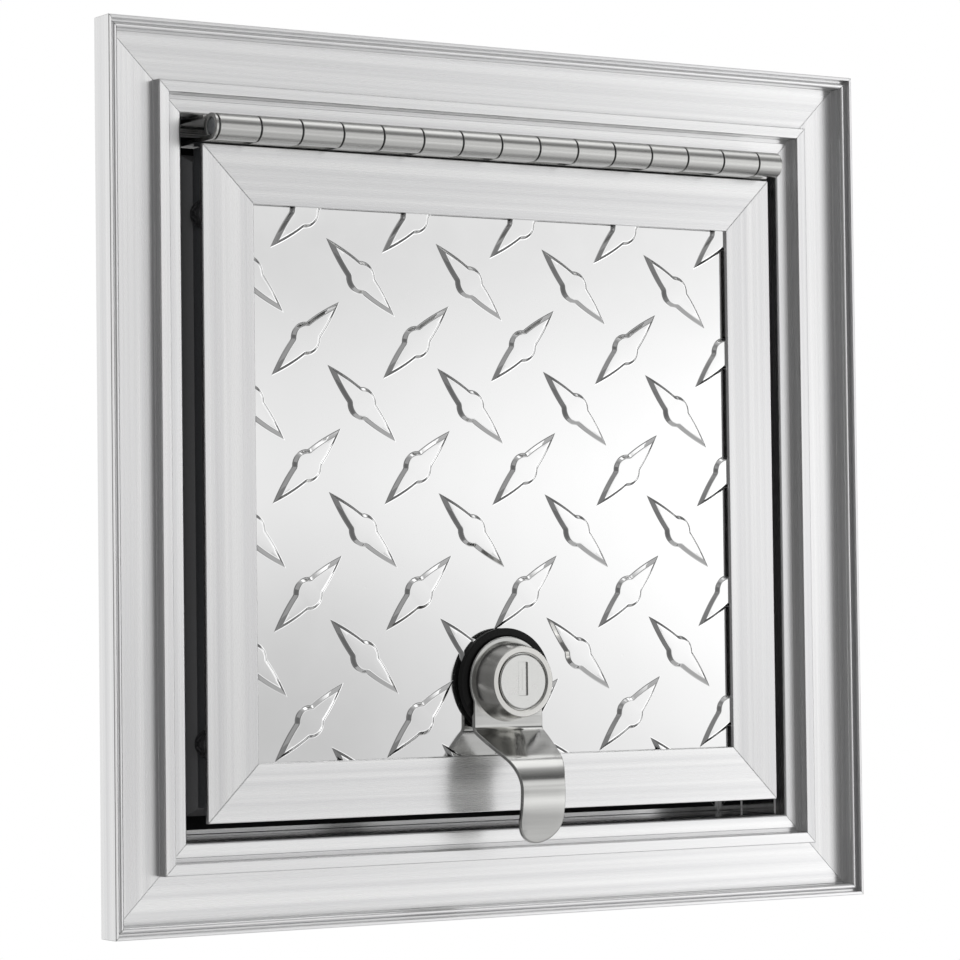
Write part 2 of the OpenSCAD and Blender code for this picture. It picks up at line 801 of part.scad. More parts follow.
frame_top();
frame_bottom();
frame_left();
frame_right();
hinge_frame_leaf();
hinge_pin();
rim_top();
rim_bottom();
rim_left();
rim_right();
tread_plate();
door_core();
back_panel();
seal_top();
seal_bottom();
seal_left();
seal_right();
hinge_door_leaf();
screw_left_upper();
screw_left_lower();
screw_right_upper();
screw_right_lower();
lock_gasket();
finger_pull();
lock_body();
lock_nut();
lock_plug();
lock_cam();
cam_screw();
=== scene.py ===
"""Compartment door with a mitred aluminium trim frame, a tread plate leaf, a long hinge and a keyed finger pull.

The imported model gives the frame. Sizes here are in millimetres in its axes: the front looks along -Y, Z is up.
"""
import logging
import math
from dataclasses import dataclass
from enum import Enum

import bmesh
import bpy
import numpy as np
from mathutils import Matrix


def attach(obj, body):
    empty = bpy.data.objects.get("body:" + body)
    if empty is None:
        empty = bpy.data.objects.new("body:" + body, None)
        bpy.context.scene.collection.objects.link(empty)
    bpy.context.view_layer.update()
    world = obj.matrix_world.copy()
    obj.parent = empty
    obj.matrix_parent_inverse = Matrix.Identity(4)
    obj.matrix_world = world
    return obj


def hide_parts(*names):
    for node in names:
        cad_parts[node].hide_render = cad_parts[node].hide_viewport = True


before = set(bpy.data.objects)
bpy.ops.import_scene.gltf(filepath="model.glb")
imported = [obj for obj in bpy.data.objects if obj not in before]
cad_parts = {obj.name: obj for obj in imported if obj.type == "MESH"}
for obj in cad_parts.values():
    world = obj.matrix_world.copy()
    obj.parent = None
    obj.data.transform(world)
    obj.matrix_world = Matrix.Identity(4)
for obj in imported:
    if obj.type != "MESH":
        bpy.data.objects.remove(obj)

log = logging.getLogger("compartment_door")

MM = 0.001
GRAIN_MAP = "grain"

# Sizes that several pieces share: width and height of the leaf, the height of its middle, and the lock's hole.
LEAF_SIZE = (194.0, 187.0)
LEAF_MIDDLE = 111.7
LOCK_HEIGHT = 55.4
LOCK_HOLE = 9.8

# A corner folded further than this cosine is not rounded, and one corner takes at most this share of a side.
SHARPEST_FOLD = 0.9999
SIDE_SHARE = 0.48
# Half the angle, in degrees, from which a corner counts as straight.
STRAIGHT_HALF = 89.5
# Points nearer to each other than this, in millimetres, are one; smaller lengths and angles than tiny are nothing.
SAME_POINT = 1e-5
TINY = 1e-6
# Points of a finished piece that are merged, and slivers that are dissolved, in metres.
MERGE = 2e-6
SLIVER = 1e-6
# How far apart the grain of the four members starts, in millimetres, so that no two show the same streaks.
GRAIN_STEP = 700.0


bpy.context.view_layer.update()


# Shapes


@dataclass
class Surface:
    """Points in millimetres, faces as lists of point numbers, and a place along and across the grain."""

    points: np.ndarray
    faces: list
    grain: np.ndarray


def grid(points: np.ndarray, grain: np.ndarray | None = None) -> Surface:
    """Join an array of rows and columns of points into four-sided faces.

    A closed loop repeats its first point at its end, and the doubles are merged later.

    Args:
        points: rows x columns x 3.
        grain: rows x columns x 2, or nothing for a piece without grain.

    Returns:
        The surface.
    """
    rows, columns = points.shape[:2]
    corner = np.arange(rows - 1)[:, None] * columns + np.arange(columns - 1)
    faces = np.stack([corner, corner + 1, corner + columns + 1, corner + columns], axis=-1).reshape(-1, 4)
    along = np.zeros((rows, columns, 2)) if grain is None else np.broadcast_to(grain, (rows, columns, 2))
    return Surface(points.reshape(-1, 3), faces.tolist(), along.reshape(-1, 2).copy())


def joined(parts: list[Surface]) -> Surface:
    """Put several surfaces into one, counting the points on from part to part.

    Args:
        parts: the surfaces.

    Returns:
        One surface.
    """
    starts = np.cumsum([0] + [len(part.points) for part in parts])
    faces = [[int(start) + index for index in face] for part, start in zip(parts, starts) for face in part.faces]
    return Surface(np.concatenate([part.points for part in parts]), faces,
                   np.concatenate([part.grain for part in parts]))


def capped(surface: Surface, count: int) -> Surface:
    """Close both ends of a surface of two rows, each of which holds count points and its first one again."""
    surface.faces += [list(range(count)), list(range(count + 1, 2 * count + 1))]
    return surface


def run_length(points: np.ndarray) -> np.ndarray:
    """Give the distance walked from the first point to each point of a line."""
    return np.concatenate([[0.0], np.cumsum(np.linalg.norm(np.diff(points, axis=0), axis=1))])


def arc(middle: tuple[float, float], radius: float, start: float, end: float, count: int) -> np.ndarray:
    """Give count points of a circle from one angle in degrees to another."""
    angle = np.radians(np.linspace(start, end, count))
    return np.stack([middle[0] + radius * np.cos(angle), middle[1] + radius * np.sin(angle)], axis=1)


def filleted(corners: np.ndarray, radii: np.ndarray, count: int = 5) -> np.ndarray:
    """Round the corners of a closed outline.

    Each corner is replaced by an arc that touches both its sides. The arc's points come from turning the
    line from its centre to the first touching point evenly towards the second one.

    Args:
        corners: the outline's corners.
        radii: one radius for each corner; 0 keeps the corner sharp.
        count: points for each arc.

    Returns:
        The rounded outline, without repeated points.
    """
    before = np.roll(corners, 1, axis=0) - corners
    after = np.roll(corners, -1, axis=0) - corners
    before_length = np.linalg.norm(before, axis=1)
    after_length = np.linalg.norm(after, axis=1)
    before = before / before_length[:, None]
    after = after / after_length[:, None]
    half = np.arccos(np.clip((before * after).sum(axis=1), -1.0, SHARPEST_FOLD)) / 2
    touch = np.minimum(radii / np.tan(half), SIDE_SHARE * np.minimum(before_length, after_length))
    radius = touch * np.tan(half)
    straight = half > math.radians(STRAIGHT_HALF)
    bisector = before + after
    bisector = bisector / np.maximum(np.linalg.norm(bisector, axis=1), TINY)[:, None]
    centre = corners + bisector * (radius / np.sin(half))[:, None]
    first = corners + before * touch[:, None] - centre
    last = corners + after * touch[:, None] - centre
    sweep = np.maximum(math.pi - 2 * half, TINY)
    share = np.linspace(0.0, 1.0, count)[None, :]
    turned = (np.sin((1 - share) * sweep[:, None])[..., None] * first[:, None, :]
              + np.sin(share * sweep[:, None])[..., None] * last[:, None, :]) / np.sin(sweep)[:, None, None]
    points = np.where(straight[:, None, None], corners[:, None, :], centre[:, None, :] + turned).reshape(-1, 2)
    keep = np.linalg.norm(points - np.roll(points, 1, axis=0), axis=1) > SAME_POINT
    return points[keep]


class Side(Enum):
    """The four members of a mitred frame: the direction each runs in and the direction from its outer edge inwards."""

    BOTTOM = ((1.0, 0.0, 0.0), (0.0, 0.0, 1.0))
    TOP = ((1.0, 0.0, 0.0), (0.0, 0.0, -1.0))
    LEFT = ((0.0, 0.0, 1.0), (1.0, 0.0, 0.0))
    RIGHT = ((0.0, 0.0, 1.0), (-1.0, 0.0, 0.0))


def mitred(section: np.ndarray, size: tuple[float, float], middle: float, side: Side, joint: float) -> Surface:
    """Carry a section along one side of a rectangle and cut both ends at 45 degrees.

    A section point at a distance u in from the outer edge runs for the side's length less 2 u, so that the ends
    lie on the corner's diagonal, less half the joint's width.

    Args:
        section: closed outline as distance in from the outer edge and distance in front of the wall plane.
        size: outer width and height of the rectangle.
        middle: height of its middle.
        side: which member.
        joint: width of the open mitre joint.

    Returns:
        The closed member; its grain runs along it.
    """
    along, inward = (np.array(vector) for vector in side.value)
    half_run, half_across = (size[0] / 2, size[1] / 2) if along[0] else (size[1] / 2, size[0] / 2)
    closed = np.concatenate([section, section[:1]])
    reach = half_run - closed[:, 0] - joint * math.sqrt(0.5)
    across = (closed[:, 0] - half_across)[:, None] * inward + closed[:, 1:2] * np.array([0.0, -1.0, 0.0])
    ends = np.array([-1.0, 1.0])[:, None]
    points = (ends * reach)[..., None] * along + across[None] + np.array([0.0, 0.0, middle])
    offset = GRAIN_STEP * list(Side).index(side)
    grain = np.stack(np.broadcast_arrays(ends * reach + offset, run_length(closed)[None, :]), axis=-1)
    return capped(grid(points, grain), len(section))


def prism(outline: np.ndarray, start: float, end: float, axes: tuple[int, int, int]) -> Surface:
    """Carry a closed outline straight from one place to another and close both ends.

    Args:
        outline: corners as pairs.
        start: where it starts along the third axis.
        end: where it ends.
        axes: axis number of the outline's first and second value, and of the run.

    Returns:
        The closed prism; its grain follows the run.
    """
    closed = np.concatenate([outline, outline[:1]])
    run = np.array([[start], [end]])
    points = np.zeros((2, len(closed), 3))
    points[..., axes[0]] = closed[:, 0]
    points[..., axes[1]] = closed[:, 1]
    points[..., axes[2]] = run
    grain = np.stack(np.broadcast_arrays(run, run_length(closed)[None, :]), axis=-1)
    return capped(grid(points, grain), len(outline))


def turned(radius: np.ndarray | float, depth: np.ndarray | float, turn: np.ndarray) -> np.ndarray:
    """Put radius r at depth y and angle t round the Y axis to the point (r cos t, y, r sin t)."""
    return np.stack(np.broadcast_arrays(radius * np.cos(turn), depth, radius * np.sin(turn)), axis=-1)


def lathed(profile: np.ndarray, steps: int) -> np.ndarray:
    """Turn a profile round the Y axis.

    Args:
        profile: radius and depth of each point.
        steps: faces round the turn.

    Returns:
        Rows x (steps + 1) x 3 points.
    """
    return turned(profile[:, :1], profile[:, 1:], np.linspace(0.0, 2 * math.pi, steps + 1))


def turned_grain(points: np.ndarray) -> np.ndarray:
    """Lay the grain round a turned piece: along is the angle times a mean radius, across follows the profile.

    Args:
        points: rows x columns x 3, each row a full turn round the Y axis.

    Returns:
        Rows x columns x 2 places.
    """
    radius = np.hypot(points[..., 0], points[..., 2])
    turn = np.linspace(0.0, 2 * math.pi, points.shape[1])[None, :] * radius.mean()
    across = run_length(points[:, 0])[:, None]
    return np.stack(np.broadcast_arrays(turn, across), axis=-1)


def smooth_step(value: np.ndarray, low: float, high: float) -> np.ndarray:
    """Rise from 0 at low to 1 at high along 3 t^2 - 2 t^3."""
    share = np.clip((value - low) / (high - low), 0.0, 1.0)
    return share * share * (3 - 2 * share)


def bored_halves(right: np.ndarray, along: np.ndarray | None = None, ends: bool = False) -> Surface:
    """Mirror the right half of a sheet over its middle line and close the wall of the hole between the halves.

    Each row goes from the middle line or the hole round the edge and back; where it starts off the middle line,
    its first and last points bound the hole, and a face joins them to those of the next row.

    Args:
        right: rows x columns x 3 points of the right half.
        along: the place of each row along the grain, or nothing for a piece without grain.
        ends: whether the first and the last row are closed by a face.

    Returns:
        Both halves; their points on the middle line are merged later.
    """
    rows, columns = right.shape[:2]
    inner = right[:, 0, 0]
    row = np.nonzero((inner[:-1] > TINY) | (inner[1:] > TINY))[0] * columns
    wall = np.stack([row, row + columns - 1, row + 2 * columns - 1, row + columns], axis=1)
    halves = []
    for mirror in (1.0, -1.0):
        points = right * np.array([mirror, 1.0, 1.0])
        grain = None if along is None else np.stack(
            [points[..., 0], np.broadcast_to(along[:, None], points.shape[:2])], axis=-1)
        surface = grid(points, grain)
        surface.faces += wall.tolist()
        if ends:
            surface.faces += [[start + index for index in range(columns)] for start in (0, (rows - 1) * columns)]
        halves.append(surface)
    return joined(halves)


# Materials


def linear(code: str) -> tuple[float, float, float, float]:
    """Turn an sRGB hex colour such as #C8C9CA into linear values with full alpha.

    Each value v goes to v / 12.92 where it is small and to ((v + 0.055) / 1.055) ^ 2.4 elsewhere.

    Args:
        code: the colour.

    Returns:
        Red, green, blue and alpha.
    """
    value = np.array([int(code[place:place + 2], 16) for place in (1, 3, 5)]) / 255
    result = np.where(value <= 0.04045, value / 12.92, ((value + 0.055) / 1.055) ** 2.4)
    return (float(result[0]), float(result[1]), float(result[2]), 1.0)


def add_node(tree: bpy.types.NodeTree, kind: str, inputs: dict | None = None, **settings) -> bpy.types.Node:
    """Add one node to a material.

    Args:
        tree: the material's node tree.
        kind: Blender's name of the node type.
        inputs: for each input, by name or number, a plain value or the output to link to it.
        settings: properties of the node.

    Returns:
        The node.
    """
    node = tree.nodes.new(kind)
    for key, value in settings.items():
        setattr(node, key, value)
    for key, value in (inputs or {}).items():
        if isinstance(value, bpy.types.NodeSocket):
            tree.links.new(value, node.inputs[key])
        else:
            node.inputs[key].default_value = value
    return node


def blank_material(name: str) -> bpy.types.Material:
    """Make a material whose node tree is still empty.

    Args:
        name: the real material's name.

    Returns:
        The material.
    """
    material = bpy.data.materials.new(name)
    material.use_nodes = True
    material.node_tree.nodes.clear()
    return material


@dataclass(frozen=True)
class Finish:
    """What every finish has: its name, its colour and how polished it is."""

    name: str
    colour: str
    roughness: float

    def shader(self, tree: bpy.types.NodeTree) -> bpy.types.NodeSocket:
        """Give the surface's output; each finish has its own."""
        raise NotImplementedError

    def material(self) -> bpy.types.Material:
        """Make the Blender material once and share it afterwards.

        Returns:
            The material.
        """
        made = bpy.data.materials.get(self.name)
        if made is None:
            made = blank_material(self.name)
            add_node(made.node_tree, "ShaderNodeOutputMaterial", {"Surface": self.shader(made.node_tree)})
        return made


@dataclass(frozen=True)
class GrainedMetal(Finish):
    """Metal with fine lines along its grain, as rolling, drawing or brushing leaves them.

    The lines spread the highlight across the grain and keep it sharp along it. Real lines are under 0.05 mm
    apart, too fine to show, so they are drawn about 0.2 mm wide.
    """

    darker: str
    stretch: float
    line_width: float = 0.2
    line_length: float = 150.0
    line_depth: float = 0.00005
    uneven: float = 0.02

    def shader(self, tree: bpy.types.NodeTree) -> bpy.types.NodeSocket:
        """Give the grained metal: lines, a slow change of tone and a few small dents.

        Args:
            tree: the material's node tree.

        Returns:
            The surface's output.
        """
        grain = add_node(tree, "ShaderNodeUVMap", uv_map=GRAIN_MAP).outputs[0]
        fine_scale = (1 / (self.line_length * MM), 1 / (self.line_width * MM), 1.0)
        fine_place = add_node(tree, "ShaderNodeMapping", {"Vector": grain, "Scale": fine_scale})
        fine = add_node(tree, "ShaderNodeTexNoise", {"Vector": fine_place.outputs[0], "Scale": 1.0, "Detail": 3.0})
        slow_scale = (1 / (4 * self.line_length * MM), 1 / (14 * self.line_width * MM), 1.0)
        slow_place = add_node(tree, "ShaderNodeMapping", {"Vector": grain, "Scale": slow_scale})
        slow = add_node(tree, "ShaderNodeTexNoise", {"Vector": slow_place.outputs[0], "Scale": 1.0, "Detail": 2.0})
        place = add_node(tree, "ShaderNodeTexCoord").outputs["Object"]
        dents = add_node(tree, "ShaderNodeTexVoronoi", {"Vector": place, "Scale": 90.0})
        dent = add_node(tree, "ShaderNodeMapRange", {"Value": dents.outputs["Distance"], "From Min": 0.0,
                                                     "From Max": 0.07, "To Min": 0.0, "To Max": 1.0})
        tone = add_node(tree, "ShaderNodeMapRange", {"Value": slow.outputs[0], "From Min": 0.35, "From Max": 0.7})
        colour = add_node(tree, "ShaderNodeMix", {"Factor": tone.outputs[0], "A": linear(self.colour),
                                                  "B": linear(self.darker)}, data_type="RGBA")
        rough = add_node(tree, "ShaderNodeMapRange", {
            "Value": fine.outputs[0], "From Min": 0.3, "From Max": 0.7,
            "To Min": self.roughness - self.uneven, "To Max": self.roughness + self.uneven})
        lines = add_node(tree, "ShaderNodeBump", {"Height": fine.outputs[0], "Strength": 0.3,
                                                  "Distance": self.line_depth * MM * 10})
        dented = add_node(tree, "ShaderNodeBump", {"Height": dent.outputs[0], "Normal": lines.outputs[0],
                                                   "Strength": 0.25, "Distance": 0.02 * MM})
        tangent = add_node(tree, "ShaderNodeTangent", direction_type="UV_MAP", uv_map=GRAIN_MAP)
        return add_node(tree, "ShaderNodeBsdfPrincipled", {
            "Base Color": colour.outputs["Result"], "Metallic": 1.0, "Roughness": rough.outputs[0],
            "Anisotropic": self.stretch, "Anisotropic Rotation": 0.25, "Normal": dented.outputs[0],
            "Tangent": tangent.outputs[0]}).outputs[0]


@dataclass(frozen=True)
class BrightPlate(Finish):
    """Bright rolled aluminium tread plate: nearly a mirror, with the slow waves that rolling and pressing leave."""

    wave: float = 22.0
    wave_depth: float = 0.03

    def shader(self, tree: bpy.types.NodeTree) -> bpy.types.NodeSocket:
        """Give the bright plate: slow waves, a little grease haze and small marks.

        Args:
            tree: the material's node tree.

        Returns:
            The surface's output.
        """
        place = add_node(tree, "ShaderNodeTexCoord").outputs["Object"]
        wave = add_node(tree, "ShaderNodeTexNoise", {"Vector": place, "Scale": 1 / (self.wave * MM),
                                                     "Detail": 1.0, "Roughness": 0.4})
        haze = add_node(tree, "ShaderNodeTexNoise", {"Vector": place, "Scale": 1 / (9 * MM), "Detail": 4.0})
        rough = add_node(tree, "ShaderNodeMapRange", {
            "Value": haze.outputs[0], "From Min": 0.3, "From Max": 0.7,
            "To Min": self.roughness * 0.8, "To Max": self.roughness * 1.3})
        marks = add_node(tree, "ShaderNodeTexVoronoi", {"Vector": place, "Scale": 75.0})
        mark = add_node(tree, "ShaderNodeMapRange", {"Value": marks.outputs["Distance"], "From Min": 0.0,
                                                     "From Max": 0.035, "To Min": 0.0, "To Max": 1.0})
        waved = add_node(tree, "ShaderNodeBump", {"Height": wave.outputs[0], "Strength": 1.0,
                                                  "Distance": self.wave_depth * MM})
        marked = add_node(tree, "ShaderNodeBump", {"Height": mark.outputs[0], "Normal": waved.outputs[0],
                                                   "Strength": 0.2, "Distance": 0.02 * MM})
        return add_node(tree, "ShaderNodeBsdfPrincipled", {
            "Base Color": linear(self.colour), "Metallic": 1.0, "Roughness": rough.outputs[0],
            "Normal": marked.outputs[0]}).outputs[0]


@dataclass(frozen=True)
class PlainMetal(Finish):
    """Metal without a direction: cast, plated or stamped, with a fine cloudy unevenness."""

    darker: str
    cloud: float = 3.0
    uneven: float = 0.02

    def shader(self, tree: bpy.types.NodeTree) -> bpy.types.NodeSocket:
        """Give the plain metal: clouds in tone and polish.

        Args:
            tree: the material's node tree.

        Returns:
            The surface's output.
        """
        place = add_node(tree, "ShaderNodeTexCoord").outputs["Object"]
        cloud = add_node(tree, "ShaderNodeTexNoise", {"Vector": place, "Scale": 1 / (self.cloud * MM),
                                                      "Detail": 4.0})
        tone = add_node(tree, "ShaderNodeMapRange", {"Value": cloud.outputs[0], "From Min": 0.35, "From Max": 0.75})
        colour = add_node(tree, "ShaderNodeMix", {"Factor": tone.outputs[0], "A": linear(self.colour),
                                                  "B": linear(self.darker)}, data_type="RGBA")
        rough = add_node(tree, "ShaderNodeMapRange", {
            "Value": cloud.outputs[0], "From Min": 0.3, "From Max": 0.7,
            "To Min": self.roughness - self.uneven, "To Max": self.roughness + self.uneven})
        return add_node(tree, "ShaderNodeBsdfPrincipled", {
            "Base Color": colour.outputs["Result"], "Metallic": 1.0, "Roughness": rough.outputs[0]}).outputs[0]


@dataclass(frozen=True)
class DarkCoat(Finish):
    """Rubber, foam or paint: no metal, with a grain of its own size and depth."""

    grain_size: float
    grain_depth: float
    gloss: float = 0.5

    def shader(self, tree: bpy.types.NodeTree) -> bpy.types.NodeSocket:
        """Give the dark coat: a fine bump and a slightly uneven polish.

        Args:
            tree: the material's node tree.

        Returns:
            The surface's output.
        """
        place = add_node(tree, "ShaderNodeTexCoord").outputs["Object"]
        grain = add_node(tree, "ShaderNodeTexNoise", {"Vector": place, "Scale": 1 / (self.grain_size * MM),
                                                      "Detail": 3.0})
        rough = add_node(tree, "ShaderNodeMapRange", {
            "Value": grain.outputs[0], "From Min": 0.3, "From Max": 0.7,
            "To Min": self.roughness * 0.85, "To Max": min(1.0, self.roughness * 1.15)})
        bump = add_node(tree, "ShaderNodeBump", {"Height": grain.outputs[0], "Strength": 0.6,
                                                 "Distance": self.grain_depth * MM})
        return add_node(tree, "ShaderNodeBsdfPrincipled", {
            "Base Color": linear(self.colour), "Roughness": rough.outputs[0], "IOR": 1.5,
            "Specular IOR Level": self.gloss, "Normal": bump.outputs[0]}).outputs[0]


# Mill finished extruded aluminium: the die draws fine lines along the bar, so its sheen is soft across them.
TRIM_ALUMINIUM = GrainedMetal("extruded_aluminium", "#F2F2F2", 0.28, darker="#E0E0E1", stretch=0.75)
# The inside of the jamb, drawn over the die's polished core: it mirrors the edge of the leaf.
JAMB_ALUMINIUM = GrainedMetal("smooth_extruded_aluminium", "#EAEAEA", 0.10, darker="#DEDEDF", stretch=0.5)
# The same alloy as flat bar for the door face, a little darker and with shallower lines.
FACE_ALUMINIUM = GrainedMetal(
    "flat_bar_aluminium", "#EBEBEB", 0.27, darker="#DADADB", stretch=0.75, line_depth=0.00002)
# Bright rolled tread plate: a near mirror with slow waves.
TREAD_ALUMINIUM = BrightPlate("bright_rolled_tread_plate", "#F4F4F4", 0.07)
# Satin rolled steel: a neutral grey with grain along the hinge.
HINGE_STEEL = GrainedMetal("satin_rolled_steel", "#CBCBC9", 0.25, darker="#BFBFBD", stretch=0.5)
# Stainless sheet brushed across before bending: highlights become bands across the pull.
PULL_STEEL = GrainedMetal(
    "brushed_stainless_sheet", "#CCCCCA", 0.13, darker="#C2C2C0", stretch=0.5, line_length=9.0)
# Satin nickel on a turned casting: grain runs round it.
LOCK_NICKEL = GrainedMetal(
    "turned_satin_nickel", "#DEDDDA", 0.20, darker="#D4D3CF", stretch=0.4, line_length=12.0)
# The plug's flat face has no direction.
PLUG_NICKEL = PlainMetal("stamped_satin_nickel", "#DCDCDA", 0.26, darker="#D8D8D6")
# Zinc plated steel: cloudy and a little bluish.
ZINC_STEEL = PlainMetal("zinc_plated_steel", "#C5C8CB", 0.38, darker="#A7ABAF", cloud=2.0)
# Plain sheet for the inner skin.
SKIN_ALUMINIUM = PlainMetal("mill_aluminium_sheet", "#DCDDDE", 0.34, darker="#CDCED0", cloud=12.0)
# Closed cell rubber of the edge seal: matt and faintly grey.
SEAL_RUBBER = DarkCoat("closed_cell_rubber", "#4C4C4D", 0.72, grain_size=0.35, grain_depth=0.03)
# Smooth moulded rubber under the pull.
GASKET_RUBBER = DarkCoat("moulded_rubber", "#0C0C0C", 0.45, grain_size=0.8, grain_depth=0.008, gloss=0.15)
# Matt black edge of the core.
CORE_BLACK = DarkCoat("matt_black_core", "#38393B", 0.62, grain_size=0.6, grain_depth=0.015)
# Painted shade: black colour on the front of the stop, standing in for the shade deep in the gap round the leaf.
STOP_PAINTED_SHADE = DarkCoat("black_painted_shade_on_stop", "#1C1C1D", 0.85, grain_size=0.5, grain_depth=0.04)
# Black enamel on the screw heads: smooth and glossy, it mirrors the dark gap and looks blacker than the seal.
SCREW_BLACK = DarkCoat("black_enamel", "#1E1E1F", 0.12, grain_size=1.5, grain_depth=0.001)


def mesh_of(name: str, surface: Surface) -> bpy.types.Mesh:
    """Make a mesh in metres from a surface in millimetres.

    Args:
        name: the mesh's name.
        surface: its points and faces.

    Returns:
        The mesh.
    """
    mesh = bpy.data.meshes.new(name)
    mesh.from_pydata((surface.points * MM).tolist(), [], surface.faces)
    return mesh


def shown(name: str, data: bpy.types.ID) -> bpy.types.Object:
    """Put a mesh, lamp or camera into the scene.

    Args:
        name: the object's name.
        data: what it shows.

    Returns:
        The object.
    """
    item = bpy.data.objects.new(name, data)
    bpy.context.scene.collection.objects.link(item)
    return item


def put(name: str, surface: Surface, finish: Finish, body: str, nodes: list[str], sharp: float = 30.0,
        bevel: float = 0.0) -> bpy.types.Object:
    """Make one finished piece from a surface.

    Doubles are merged, seams and poles closed and normals turned outwards. Corners over the sharp angle stay
    crisp, and large faces keep their own normals.

    Args:
        name: the piece's name.
        surface: its points and faces in millimetres.
        finish: its material.
        body: the body that carries it.
        nodes: the nodes that it stands for.
        sharp: angle in degrees from which an edge is crisp.
        bevel: width in millimetres of a small rounding on crisp edges, or 0.

    Returns:
        The object.
    """
    mesh = mesh_of(name, surface)
    layer = mesh.uv_layers.new(name=GRAIN_MAP)
    corners = np.empty(len(mesh.loops), dtype=np.int32)
    mesh.loops.foreach_get("vertex_index", corners)
    layer.data.foreach_set("uv", (surface.grain[corners] * MM).astype(np.float32).ravel())
    work = bmesh.new()
    work.from_mesh(mesh)
    bmesh.ops.remove_doubles(work, verts=work.verts, dist=MERGE)
    bmesh.ops.dissolve_degenerate(work, edges=work.edges, dist=SLIVER)
    bmesh.ops.triangulate(work, faces=[face for face in work.faces if len(face.verts) > 4])
    bmesh.ops.recalc_face_normals(work, faces=work.faces)
    work.to_mesh(mesh)
    work.free()
    mesh.shade_smooth()
    mesh.set_sharp_from_angle(angle=math.radians(sharp))
    piece = shown(name, mesh)
    mesh.materials.append(finish.material())
    if bevel:
        rounding = piece.modifiers.new("rounding", "BEVEL")
        rounding.width = bevel * MM
        rounding.segments = 2
        rounding.limit_method = "ANGLE"
        rounding.angle_limit = math.radians(sharp)
    flats = piece.modifiers.new("flats", "WEIGHTED_NORMAL")
    flats.keep_sharp = True
    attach(piece, body)
    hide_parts(*nodes)
    log.info("%s: %d faces, stands for %s", name, len(mesh.polygons), ", ".join(nodes))
    return piece


def put_members(names: tuple[str, str], section: np.ndarray, size: tuple[float, float], middle: float,
                joint: float, finish: Finish, body: str) -> list[bpy.types.Object]:
    """Make and dress the four members of a mitred frame.

    Args:
        names: how the names of the pieces and of their nodes begin; both end in the side.
        section: closed outline as distance in from the outer edge and distance in front of the wall plane.
        size: outer width and height of the frame.
        middle: height of its middle.
        joint: width of the open mitre joints.
        finish: the members' material.
        body: the body that carries them.

    Returns:
        The four pieces.
    """
    return [put(names[0] + side.name.lower(), mitred(section, size, middle, side, joint), finish, body,
                [names[1] + side.name.lower()]) for side in Side]


def dress(node: str, finish: Finish) -> None:
    """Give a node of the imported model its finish.

    Args:
        node: the node.
        finish: its material.
    """
    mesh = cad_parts[node].data
    mesh.materials.clear()
    mesh.materials.append(finish.material())
    log.info("%s: dressed in %s", node, finish.name)


# The trim frame


